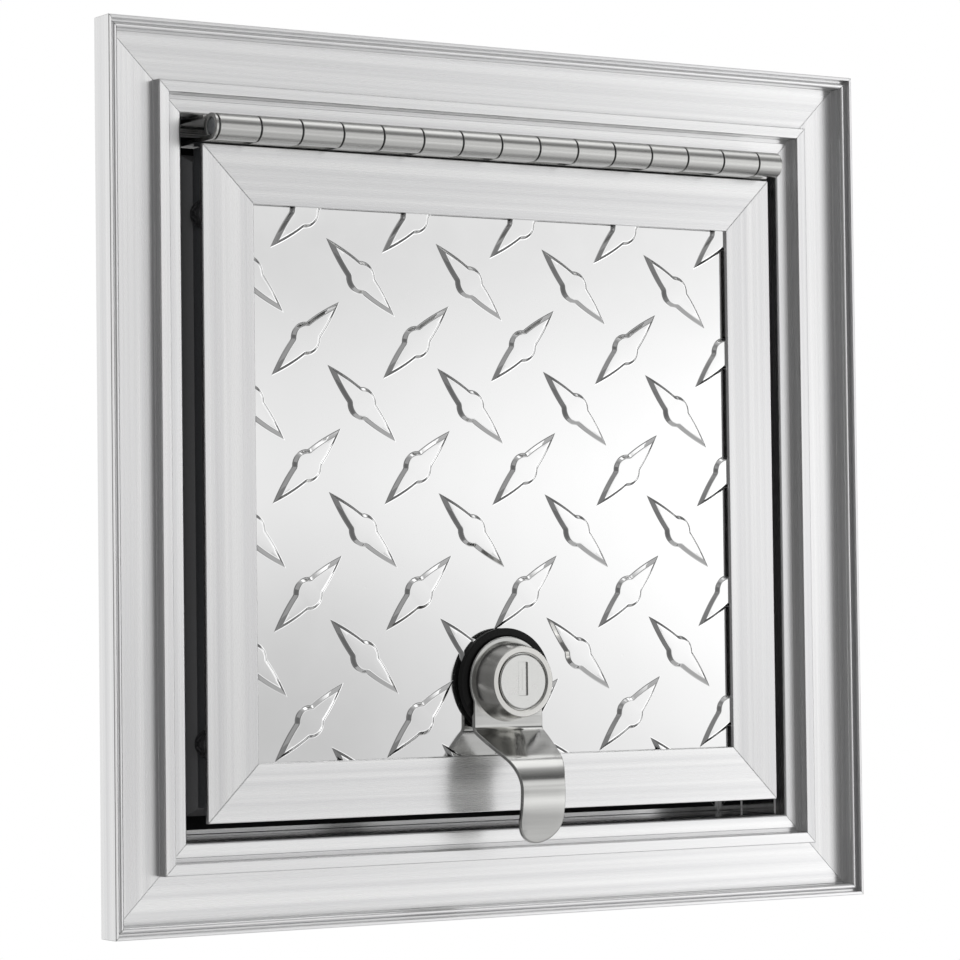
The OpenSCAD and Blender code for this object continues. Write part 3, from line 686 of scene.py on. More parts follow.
@dataclass
class TrimFrame:
    """The four mitred extrusions round the opening, with their jamb and stop."""

    size: tuple[float, float] = (254.0, 250.0)
    middle: float = 113.2
    joint: float = 0.12
    lip: tuple[float, float] = (1.0, 8.8)
    groove: tuple[float, float] = (1.6, 6.6)
    bead: tuple[float, float] = (1.8, 7.6)
    floor: tuple[float, float] = (16.3, 3.0)
    band: tuple[float, float] = (19.6, 6.5)
    ledge: tuple[float, float] = (20.9, 2.0)
    inner: tuple[float, float] = (25.0, 2.8)
    jamb: tuple[float, float] = (1.4, 33.0)
    stop: tuple[float, float] = (36.0, 31.5)
    drips: tuple[float, float] = (2.4, 19.4)
    drip: float = 0.5
    # How far in from the outer edge the black painted shade on the stop's front begins.
    painted_shade_edge: float = 26.3

    def section(self) -> np.ndarray:
        """Give the section as distance in from the outer edge and distance in front of the wall plane.

        Each row of the table also has the small radius that a die leaves at that corner; the bead is a half
        circle on straight sides.

        Returns:
            The closed outline.
        """
        groove, bead_h, floor, inner = self.groove[0], self.bead[1], self.floor, self.inner[0]
        crown = self.bead[0] / 2
        bead = arc((groove + crown, bead_h - crown), crown, 180, 0, 13)
        table = [
            (0, 0, 0.1), (0, self.lip[1], 0.25), (self.lip[0], self.lip[1], 0.25),
            (self.lip[0], self.groove[1], 0.1), (groove, self.groove[1], 0.1), *[(u, out, 0) for u, out in bead],
            (groove + self.bead[0], floor[1], 0.25), (floor[0], floor[1], 0.25), (floor[0], self.band[1], 0.35),
            (self.band[0], self.band[1], 0.35), (self.band[0], self.ledge[1], 0.15),
            (self.ledge[0], self.ledge[1], 0.12), (self.ledge[0], self.inner[1], 0.15),
            (inner, self.inner[1], 0.8)]
        for depth in self.drips:
            table += [(inner, -depth + self.drip, 0.1), (inner - self.drip, -depth, 0.1),
                      (inner, -depth - self.drip, 0.1)]
        wall = inner - self.jamb[0]
        stop, front, back = self.stop[0], -self.stop[1], -self.jamb[1]
        table += [(inner, front, 0.15), (self.painted_shade_edge, front, 0), (stop, front, 0.3),
                  (stop, back, 0.3), (wall, back, 0.3), (wall, 0, 0.2)]
        rows = np.array(table, dtype=float)
        return filleted(rows[:, :2], rows[:, 2])

    def build(self) -> None:
        """Make and dress the four members."""
        for piece in put_members(("trim_", "frame_"), self.section(), self.size, self.middle, self.joint,
                                 TRIM_ALUMINIUM, "frame"):
            self.line(piece)

    def line(self, piece: bpy.types.Object) -> None:
        """Give the inside of the jamb its smoother skin and the front of the stop its black painted shade.

        A face takes the painted shade where it lies at the stop's depth and further in than the shade's edge, and
        belongs to the jamb's skin where it lies behind the wall plane, nearer than the stop, and within its reach
        of the jamb's inner side.

        Args:
            piece: one member of the frame.
        """
        near, skin_reach = 0.01, 0.6
        mesh = piece.data
        mesh.materials.append(JAMB_ALUMINIUM.material())
        mesh.materials.append(STOP_PAINTED_SHADE.material())
        middles = np.empty(3 * len(mesh.polygons))
        mesh.polygons.foreach_get("center", middles)
        across, depth, height = middles.reshape(-1, 3).T / MM
        inward = np.minimum(self.size[0] / 2 - np.abs(across), self.size[1] / 2 - np.abs(height - self.middle))
        skin = (depth > 0) & (depth < self.stop[1] - near) & (np.abs(inward - self.inner[0]) < skin_reach)
        # Painted shade: faces on the stop's front, further in than the shade's edge, are coloured black where the gap
        # is in shade.
        painted_shade_faces = (np.abs(depth - self.stop[1]) < near) & (inward > self.painted_shade_edge)
        mesh.polygons.foreach_set("material_index", np.where(painted_shade_faces, 2, np.where(skin, 1, 0)).astype(np.int32))


# The leaf


@dataclass
class DoorFace:
    """The four flat mitred members on the front of the leaf.

    Their inner edge is thinner and lies on the tops of the lugs, which leaves a narrow dark gap over the plate.
    """

    size: tuple[float, float] = LEAF_SIZE
    middle: float = LEAF_MIDDLE
    joint: float = 0.16
    width: float = 16.1
    face: float = 5.5
    thickness: float = 1.3
    lap: tuple[float, float] = (1.5, 4.6)

    def build(self) -> None:
        """Make and dress the four members."""
        back = self.face - self.thickness
        inner = self.width - self.lap[0]
        table = np.array([(0, self.face, 0.3), (self.width, self.face, 0.35), (self.width, self.lap[1], 0.1),
                          (inner, self.lap[1], 0.1), (inner, back, 0.05), (0, back, 0.1)])
        put_members(("face_", "rim_"), filleted(table[:, :2], table[:, 2]), self.size, self.middle, self.joint,
                    FACE_ALUMINIUM, "door")


@dataclass
class TreadPlate:
    """The bright plate with its pattern of pointed lugs."""

    plate: tuple[float, float] = (168.0, 161.0)
    window: tuple[float, float] = (161.8, 154.8)
    middle: float = LEAF_MIDDLE
    face: float = 3.6
    thickness: float = 3.5
    rounding: float = 0.1
    lock_height: float = LOCK_HEIGHT
    hole: float = LOCK_HOLE
    pitch: tuple[float, float] = (36.2, 35.7)
    first: tuple[float, float] = (-9.5, 98.8)
    slant: float = 44.0
    length: float = 29.0
    width: float = 8.8
    lens: float = 6.2
    point: float = 1.7
    trim: float = -1.2
    lug_end: float = 12.6
    merge: float = 1e-4
    # How far in from the foot of a lug each ring lies, and how high over the plate.
    rings: tuple[tuple[float, float], ...] = (
        (-0.35, -0.30), (-0.35, 0.0), (-0.14, 0.04), (0.0, 0.14), (0.62, 0.88), (0.78, 0.98), (1.0, 1.0))

    def lens_half(self, along: np.ndarray, inset: np.ndarray) -> np.ndarray:
        """Give half the width of the slender lens, moved in along its own normal.

        The lens is half its width times (1 - share of the half length ^ point); moving in by i takes off
        i times the root of 1 + slope squared.

        Args:
            along: distances from the lug's middle.
            inset: how far the outline is moved in.

        Returns:
            Half the width, negative past the lens's points.
        """
        share = np.abs(along) / (self.length / 2)
        slope = self.lens / 2 * self.point * share ** (self.point - 1) / (self.length / 2)
        return self.lens / 2 * (1 - share ** self.point) - inset * np.sqrt(1 + slope ** 2)

    def one_lug(self, steps: int = 34) -> np.ndarray:
        """Give the rings of one lug lying along X, with the height over the plate as the third value.

        Each ring is the lens or the round middle, whichever is wider, moved in by the ring's inset.

        Args:
            steps: points from the middle of a side to its end.

        Returns:
            Rings x loop x 3 points.
        """
        inset = np.array(self.rings)[:, :1]
        height = np.array(self.rings)[:, 1:]
        probe = np.linspace(0, self.length, 4001)[None, :]
        open_part = self.lens_half(probe, inset) > 0
        reach = (open_part * probe).max(axis=1, keepdims=True)
        along = reach * np.sin(np.linspace(-math.pi / 2, math.pi / 2, 2 * steps + 1))[None, :]
        round_half = np.sqrt(np.maximum((self.width / 2 - inset) ** 2 - along ** 2, 0))
        half = np.maximum(np.maximum(self.lens_half(along, inset), round_half), 0)
        half[:, [0, -1]] = 0
        upper = np.stack([along, half, height + 0 * along], axis=-1)
        lower = upper[:, ::-1] * np.array([1.0, -1.0, 1.0])
        return np.concatenate([upper, lower], axis=1)

    def layout(self) -> tuple[np.ndarray, np.ndarray]:
        """Set the lugs out in rows and columns, rising and falling in turn.

        Returns:
            The middle of each lug, and its lean in radians.
        """
        step = np.arange(-4, 5)
        across, up = (value.ravel().astype(float) for value in np.meshgrid(step, step))
        centres = np.concatenate([np.stack([across, up], 1), np.stack([across + 0.5, up + 0.5], 1)])
        centres = centres * np.array(self.pitch) + np.array(self.first)
        lean = np.radians(np.where(np.arange(len(centres)) < len(across), -self.slant, self.slant))
        fits = ((np.abs(centres[:, 0]) < self.window[0] / 2 + self.length / 3)
                & (np.abs(centres[:, 1] - self.middle) < self.window[1] / 2 + self.length / 3))
        return centres[fits], lean[fits]

    def lugs(self, centres: np.ndarray, lean: np.ndarray) -> Surface:
        """Put a lug at each place, turned by its lean, and close each above and below.

        Args:
            centres: the middle of each lug.
            lean: its lean in radians.

        Returns:
            The closed lugs.
        """
        loop = self.one_lug()
        rings, count = loop.shape[:2]
        turn = np.stack([np.stack([np.cos(lean), -np.sin(lean)], -1), np.stack([np.sin(lean), np.cos(lean)], -1)], 1)
        flat = np.einsum("lij,rcj->lrci", turn, loop[..., :2]) + centres[:, None, None, :]
        depth = np.broadcast_to(-self.face - loop[..., 2], flat.shape[:3])
        points = np.stack([flat[..., 0], depth, flat[..., 1]], axis=-1)
        half = count // 2
        ladder = np.arange(half - 1)
        top = (rings - 1) * count
        cap = np.stack([ladder, ladder + 1, count - 2 - ladder, count - 1 - ladder], axis=1)
        walls = np.array(grid(np.zeros((rings, count, 3))).faces)
        faces = np.concatenate([walls, cap, cap + top])
        starts = np.arange(len(points))[:, None, None] * rings * count
        return Surface(points.reshape(-1, 3), (faces[None] + starts).reshape(-1, 4).tolist(),
                       np.zeros((points.size // 3, 2)))

    def trimmed(self, lugs: Surface, cuts: list[tuple[np.ndarray, np.ndarray]]) -> Surface:
        """Cut lugs off a little past the edge of the window, and at further planes, and close the cuts.

        Args:
            lugs: the closed lugs.
            cuts: a point on each further plane, and the direction of what it takes off.

        Returns:
            The cut lugs.
        """
        mesh = bpy.data.meshes.new("lug_blank")
        mesh.from_pydata(lugs.points.tolist(), [], lugs.faces)
        work = bmesh.new()
        work.from_mesh(mesh)
        bmesh.ops.remove_doubles(work, verts=work.verts, dist=self.merge)
        bmesh.ops.dissolve_degenerate(work, edges=work.edges, dist=self.merge)
        reach = (self.window[0] / 2 - self.trim, self.window[1] / 2 - self.trim)
        window = [((reach[0], 0, 0), (1, 0, 0)), ((-reach[0], 0, 0), (-1, 0, 0)),
                  ((0, 0, self.middle + reach[1]), (0, 0, 1)), ((0, 0, self.middle - reach[1]), (0, 0, -1))]
        for place, normal in window + cuts:
            everything = work.verts[:] + work.edges[:] + work.faces[:]
            cut = bmesh.ops.bisect_plane(work, geom=everything, plane_co=place, plane_no=normal, clear_outer=True)
            rim = [item for item in cut["geom_cut"] if isinstance(item, bmesh.types.BMEdge)]
            bmesh.ops.edgeloop_fill(work, edges=rim)
        work.verts.ensure_lookup_table()
        points = np.array([vertex.co[:] for vertex in work.verts])
        faces = [[vertex.index for vertex in face.verts] for face in work.faces]
        work.free()
        bpy.data.meshes.remove(mesh)
        return Surface(points, faces, np.zeros((len(points), 2)))

    def sheet(self) -> Surface:
        """Give the plate itself with the round hole for the lock.

        Returns:
            The closed sheet.
        """
        width, height = self.plate[0] / 2, self.plate[1] / 2
        above = self.middle + height - self.lock_height
        below = self.lock_height - (self.middle - height)
        corners = np.array([(-above, 0), (-above, width), (below, width), (below, 0)])
        edge = np.concatenate([np.linspace(corners[i], corners[i + 1], 24 if i == 1 else 4) for i in range(3)])
        return holed_sheet(edge, self.hole, self.face, self.thickness, self.rounding, self.lock_height)

    def build(self) -> None:
        """Make and dress the plate with its lugs; a lug that runs towards the lock ends under the gasket."""
        centres, lean = self.layout()
        along = np.stack([np.cos(lean), np.sin(lean)], axis=1)
        offset = np.array([0.0, self.lock_height]) - centres
        travel = (offset * along).sum(axis=1)
        miss = np.abs(offset[:, 0] * along[:, 1] - offset[:, 1] * along[:, 0])
        meets = (miss < self.hole) & (np.abs(travel) < self.length / 2)
        parts = [self.sheet(), self.trimmed(self.lugs(centres[~meets], lean[~meets]), [])]
        for number in np.nonzero(meets)[0]:
            normal = along[number] * np.sign(travel[number])
            place = np.array([0.0, self.lock_height]) - normal * self.lug_end
            cut = (np.array([place[0], 0.0, place[1]]), np.array([normal[0], 0.0, normal[1]]))
            parts.append(self.trimmed(self.lugs(centres[[number]], lean[[number]]), [cut]))
        put("tread_plate_dressed", joined(parts), TREAD_ALUMINIUM, "door", ["tread_plate"], sharp=50)


def holed_sheet(edge: np.ndarray, hole: float, face: float, thickness: float, rounding: float,
                height: float) -> Surface:
    """Give a flat sheet that is the same on both sides of its middle line, with a round hole.

    Every point of the right-hand edge starts a row that runs level to the middle line or to the hole, at
    half width root(hole^2 - distance^2). Front, rounded edge and back follow each other in the row.

    Args:
        edge: the right-hand edge from top to bottom, as distance down from the hole and half width.
        hole: radius of the hole.
        face: how far the front stands in front of the wall plane.
        thickness: of the sheet.
        rounding: radius of its outer edge.
        height: height of the hole's middle.

    Returns:
        The closed sheet.
    """
    down = np.unique(np.concatenate([edge[:, 0], hole * np.cos(np.linspace(0, math.pi, 33))]))
    corner = np.isin(edge[:, 0], edge[[0, -1], 0])
    sides = edge[~corner] if (~corner).any() else edge
    half = np.interp(down, sides[:, 0], sides[:, 1])
    inner = np.sqrt(np.maximum(hole ** 2 - down ** 2, 0))
    front = -face
    back = -face + thickness
    columns_x = np.stack([inner, (inner + half) / 2, half - rounding, half, half, half - rounding,
                          (inner + half) / 2, inner], axis=1)
    depth = np.array([front, front, front, front + rounding, back - rounding, back, back, back])
    right = np.stack([columns_x, np.broadcast_to(depth, columns_x.shape),
                      np.broadcast_to((height - down)[:, None], columns_x.shape)], axis=-1)
    return bored_halves(right, ends=True)


@dataclass
class LeafBody:
    """The black core, the flaring edge seal with its mitred corners, and the inner skin."""

    size: tuple[float, float] = LEAF_SIZE
    middle: float = LEAF_MIDDLE
    joint: float = 0.05
    inset: float = 3.9
    start: float = 6.9
    flare: float = 2.5
    slope: float = 3.6
    lip: float = 3.4
    bevel: float = 1.7
    core_back: float = 24.2
    back: float = 31.0
    width: float = 7.6

    def seal_section(self) -> np.ndarray:
        """Give the seal's section: it flares from the core's side and wraps round its back corner.

        Returns:
            The closed outline as distance in from the leaf's edge and distance in front of the wall plane.
        """
        shoulder = self.start + self.slope
        tip = self.inset - self.flare
        end = self.inset + self.width
        table = np.array([
            (self.inset, -self.start, 0.2), (tip, -shoulder, 0.5), (tip + 0.5, -shoulder - self.lip, 0.8),
            (self.inset - 0.5, -self.core_back, 1.5), (self.inset + 1.0, -self.back + 0.8, 1.0),
            (self.inset + 2.0, -self.back, 0.8), (end - self.bevel, -self.back, 1.0),
            (end, -self.back + self.bevel, 0.8), (end, -self.core_back, 0.1),
            (self.inset, -self.core_back, 0.0)])
        return filleted(table[:, :2], table[:, 2])

    def build(self) -> None:
        """Make the seals and dress the core and the skin."""
        put_members(("edge_seal_", "seal_"), self.seal_section(), self.size, self.middle, self.joint, SEAL_RUBBER,
                    "door")
        dress("door_core", CORE_BLACK)
        dress("back_panel", SKIN_ALUMINIUM)


# The hinge


@dataclass
class ContinuousHinge:
    """Two sheet leaves rolled round one long pin."""

    axis: tuple[float, float] = (-11.0, 209.2)
    start: float = -97.3
    end: float = 95.7
    lead: float = 1.3
    pitch: float = 13.1
    gap: float = 0.45
    radius: float = 3.7
    sheet: float = 1.2
    depth: float = 20.0
    notch: float = 0.6
    seam: float = 0.3
    pin: float = 2.44
    pin_in: float = 0.4
    pin_edge: float = 0.4
    knuckles: int = 15

    def knuckle_outline(self, side: int) -> np.ndarray:
        """Give the rolled sheet seen along the hinge: over the pin, round its front and back to the seam.

        Args:
            side: 1 for the leaf over the pin and -1 for the one under it.

        Returns:
            The closed outline as depth and height.
        """
        bore = self.radius - self.sheet
        stop = bore - self.seam / 3 - self.seam
        outer_end = 360 + math.degrees(math.asin(stop / self.radius))
        inner_end = 360 + math.degrees(math.asin(stop / bore))
        heel = self.radius + self.notch
        outline = np.concatenate([[(heel, self.radius)], arc((0, 0), self.radius, 90, outer_end, 45),
                                  arc((0, 0), bore, inner_end, 90, 45), [(heel, bore)]])
        return outline * np.array([1, side]) + np.array(self.axis)

    def leaf(self, first: int, side: int) -> Surface:
        """Give one leaf: the flat sheet and every second knuckle from the first.

        Args:
            first: number of its first knuckle.
            side: 1 for the leaf over the pin and -1 for the one under it.

        Returns:
            The closed sheet and knuckles.
        """
        outline = self.knuckle_outline(side)
        numbers = np.arange(first, self.knuckles, 2)
        starts = np.maximum(self.start, self.start + self.lead + numbers * self.pitch)
        ends = np.minimum(self.end, self.start + self.lead + (numbers + 1) * self.pitch - self.gap)
        parts = [prism(outline, begin, stop, (1, 2, 0)) for begin, stop in zip(starts, ends)]
        bore = self.radius - self.sheet
        heel = self.axis[0] + self.radius + self.notch
        rear = self.axis[0] + self.depth
        low, high = sorted((self.axis[1] + side * bore, self.axis[1] + side * self.radius))
        flat = np.array([(heel, low), (rear, low), (rear, high), (heel, high)])
        parts.append(prism(flat, self.start, self.end, (1, 2, 0)))
        return joined(parts)

    def build(self) -> None:
        """Make and dress both leaves and the pin."""
        put("hinge_leaf_fixed", self.leaf(0, 1), HINGE_STEEL, "frame", ["hinge_frame_leaf"], sharp=35, bevel=0.12)
        put("hinge_leaf_moving", self.leaf(-1, -1), HINGE_STEEL, "door", ["hinge_door_leaf"], sharp=35, bevel=0.12)
        low, high = self.start + self.pin_in, self.end - self.pin_in
        end = self.pin - self.pin_edge
        profile = np.array([(0, low), (end, low), (self.pin, low + self.pin_edge), (self.pin, high - self.pin_edge),
                            (end, high), (0, high)])
        rod = lathed(profile, 40)[..., [1, 0, 2]] + np.array([0, *self.axis])
        put("hinge_rod", grid(rod), ZINC_STEEL, "frame", ["hinge_pin"])


@dataclass
class SideScrews:
    """Low round black screw heads in the two sides of the core."""

    foot: float = 93.1
    depth: float = 2.7
    heights: tuple[tuple[str, float], ...] = (("upper", 186.6), ("lower", 39.8))
    radius: float = 4.0
    height: float = 3.0
    cross_width: float = 0.9
    cross_depth: float = 0.9
    # Where the cross's cut fades out: across an arm as shares of its half width, along it as shares of the radius.
    cross_edge: tuple[float, float] = (0.6, 1.2)
    cross_end: tuple[float, float] = (0.52, 0.62)

    def head(self) -> np.ndarray:
        """Give one head as rings x angles x 3, the values being height, right and up.

        The height is a sphere's cap, less a cross whose arms are cut with soft edges where the distance to the
        middle of the nearer arm is under half its width.

        Returns:
            The points of the head and of its foot.
        """
        share = np.concatenate([np.linspace(0.0, 0.94, 26), [0.97, 0.99, 1.0]])[:, None]
        turn = np.linspace(0, 2 * math.pi, 97)[None, :]
        reach = share * self.radius
        ball = (self.radius ** 2 + self.height ** 2) / (2 * self.height)
        cap = np.sqrt(ball ** 2 - reach ** 2) - ball + self.height
        first = np.abs(reach * np.cos(turn - math.pi / 4))
        second = np.abs(reach * np.sin(turn - math.pi / 4))
        arm = self.cross_width / 2
        inside = np.minimum(first, second)
        cut = ((1 - smooth_step(inside, arm * self.cross_edge[0], arm * self.cross_edge[1]))
               * (1 - smooth_step(np.maximum(first, second), self.radius * self.cross_end[0],
                                  self.radius * self.cross_end[1])))
        top = np.stack(np.broadcast_arrays(cap - self.cross_depth * cut, reach * np.cos(turn),
                                           reach * np.sin(turn)), axis=-1)
        foot = top[-1:] * np.array([0.0, 1.0, 1.0])
        return np.concatenate([top, foot, 0.0 * foot])

    def build(self) -> None:
        """Make and dress the four heads."""
        head = self.head()
        for side, sign in (("left", -1.0), ("right", 1.0)):
            for level, place in self.heights:
                points = head * np.array([sign, 1.0, 1.0]) + np.array([sign * self.foot, self.depth, place])
                node = f"screw_{side}_{level}"
                put("head_" + node, grid(points), SCREW_BLACK, "door", [node], sharp=50)


# The pull and the lock


@dataclass
class FingerPull:
    """The finger pull: a round head under the lock, bent out and turned down into a tongue with a round tip."""

    height: float = LOCK_HEIGHT
    front: float = 7.2
    sheet: float = 1.4
    head: float = 12.9
    neck: float = 11.7
    tongue: float = 7.3
    length: float = 45.8
    bend_start: float = 12.6
    bend_angle: float = 60.0
    bend_radius: float = 2.4
    bend_run: float = 13.36
    crook_radius: float = 11.0
    tip_radius: float = 28.0
    ease: tuple[float, float] = (12.5, 30.0)
    hole: float = LOCK_HOLE
    edge: float = 0.4
    # How far the bent line runs on past the tip, so that each face of the sheet reaches it.
    spare: float = 3.0

    def path(self, offset: float) -> np.ndarray:
        """Give the bent sheet's line at an offset behind its middle.

        Straight down, round the first bend, out along the slanted run, round the crook until it hangs parallel
        to the door, then slowly back towards it.

        Args:
            offset: distance behind the middle of the sheet.

        Returns:
            Points as distance down from the lock axis and distance out.
        """
        angle = math.radians(self.bend_angle)
        line_down = self.bend_start + self.bend_radius * math.sin(angle)
        line_out = self.bend_radius * (1 - math.cos(angle))
        tongue_down = line_down + self.bend_run * math.cos(angle) + self.crook_radius * math.sin(angle)
        tongue_out = line_out + self.bend_run * math.sin(angle) + self.crook_radius * (1 - math.cos(angle))
        first = np.linspace(0, angle, 40)
        second = np.linspace(angle, 0, 60)
        swing = math.asin((self.length + self.spare - tongue_down) / self.tip_radius)
        third = np.linspace(0, swing, 60)[1:]
        bend = self.bend_radius + offset
        crook = self.crook_radius - offset
        tip = self.tip_radius - offset
        return np.concatenate([
            [[-self.head - 1, -offset]],
            np.stack([self.bend_start + bend * np.sin(first), self.bend_radius - bend * np.cos(first)], 1),
            np.stack([tongue_down - crook * np.sin(second),
                      tongue_out - self.crook_radius + crook * np.cos(second)], 1),
            np.stack([tongue_down + tip * np.sin(third), tongue_out - self.tip_radius + tip * np.cos(third)], 1)])

    def half_width(self, down: np.ndarray, inset: float) -> np.ndarray:
        """Give half the width at a distance down from the lock axis, moved in by an inset.

        A circle for the head, a straight neck, a cosine ease to the tongue, and a half circle for the tip.

        Args:
            down: distances down from the lock axis.
            inset: how far the outline is moved in.

        Returns:
            Half the width at each distance.
        """
        share = np.clip((down - self.ease[0]) / (self.ease[1] - self.ease[0]), 0, 1)
        base = self.tongue + (self.neck - self.tongue) * (0.5 + 0.5 * np.cos(math.pi * share)) - inset
        tip = np.sqrt(np.maximum((self.tongue - inset) ** 2
                                 - np.maximum(down - self.length + self.tongue, 0) ** 2, 0))
        head = np.sqrt(np.maximum((self.head - inset) ** 2 - down ** 2, 0))
        width = np.where(down > self.length - self.tongue, np.minimum(base, tip), base)
        return np.where(down < 0, head, np.maximum(width, np.where(down < self.head / 2, head, 0)))

    def rows(self) -> np.ndarray:
        """Give the shares of the length at which rows lie: even along the bent sheet and close at both round ends.

        Returns:
            The shares, from 0 at the top of the head to 1 at the tip.
        """
        head_end, tip_end = 9.0, 7.0
        middle = self.path(0.0)
        walked = run_length(middle)
        low, high = -(self.head - self.edge), self.length - self.edge
        even = np.interp(np.linspace(0, walked[-1], 150), walked, middle[:, 0])
        ends = 1 - np.cos(np.linspace(0, math.pi / 2, 22))
        hole = self.hole * np.cos(np.linspace(0, math.pi, 41))
        down = np.concatenate([even, low + head_end * ends, high - tip_end * ends, hole])
        down = np.unique(np.round(np.clip(down, low, high), 5))
        return (down - low) / (high - low)

    def build(self) -> None:
        """Make and dress the pull.

        Each column of the sheet has an offset from the middle of its thickness and an inset from the outline:
        the front, the rounded edge and the back. Its rows follow the bent line at that offset, and its half
        width is that of the outline moved in by the inset.
        """
        share = self.rows()
        half_sheet = self.sheet / 2
        corner = np.linspace(0, math.pi / 2, 5)
        insets = np.concatenate([self.edge * (1 - np.sin(corner)), self.edge * (1 - np.cos(corner))])
        offsets = np.concatenate([-half_sheet + self.edge * (1 - np.cos(corner)),
                                  half_sheet - self.edge * (1 - np.sin(corner))])
        spread = np.array([0.0, 0.35, 0.7])
        table = ([(-half_sheet, self.edge, part) for part in spread]
                 + [(offset, inset, 1.0) for offset, inset in zip(offsets, insets)]
                 + [(half_sheet, self.edge, part) for part in spread[::-1]])
        columns = []
        for offset, inset, part in table:
            line = self.path(offset)
            low, high = -(self.head - inset), self.length - inset
            down = low + share * (high - low)
            out = np.interp(down, line[:, 0], line[:, 1])
            half = self.half_width(down, inset)
            inner = np.sqrt(np.maximum(self.hole ** 2 - down ** 2, 0))
            inner = np.minimum(np.where(inner < 1e-3, 0.0, inner), half)
            columns.append(np.stack([inner + (half - inner) * part, -self.front + half_sheet - out,
                                     self.height - down], axis=1))
        right = np.stack(columns, axis=1)
        put("bent_finger_pull", bored_halves(right, run_length(right[:, 0, 1:])), PULL_STEEL, "door",
            ["finger_pull"], sharp=45)


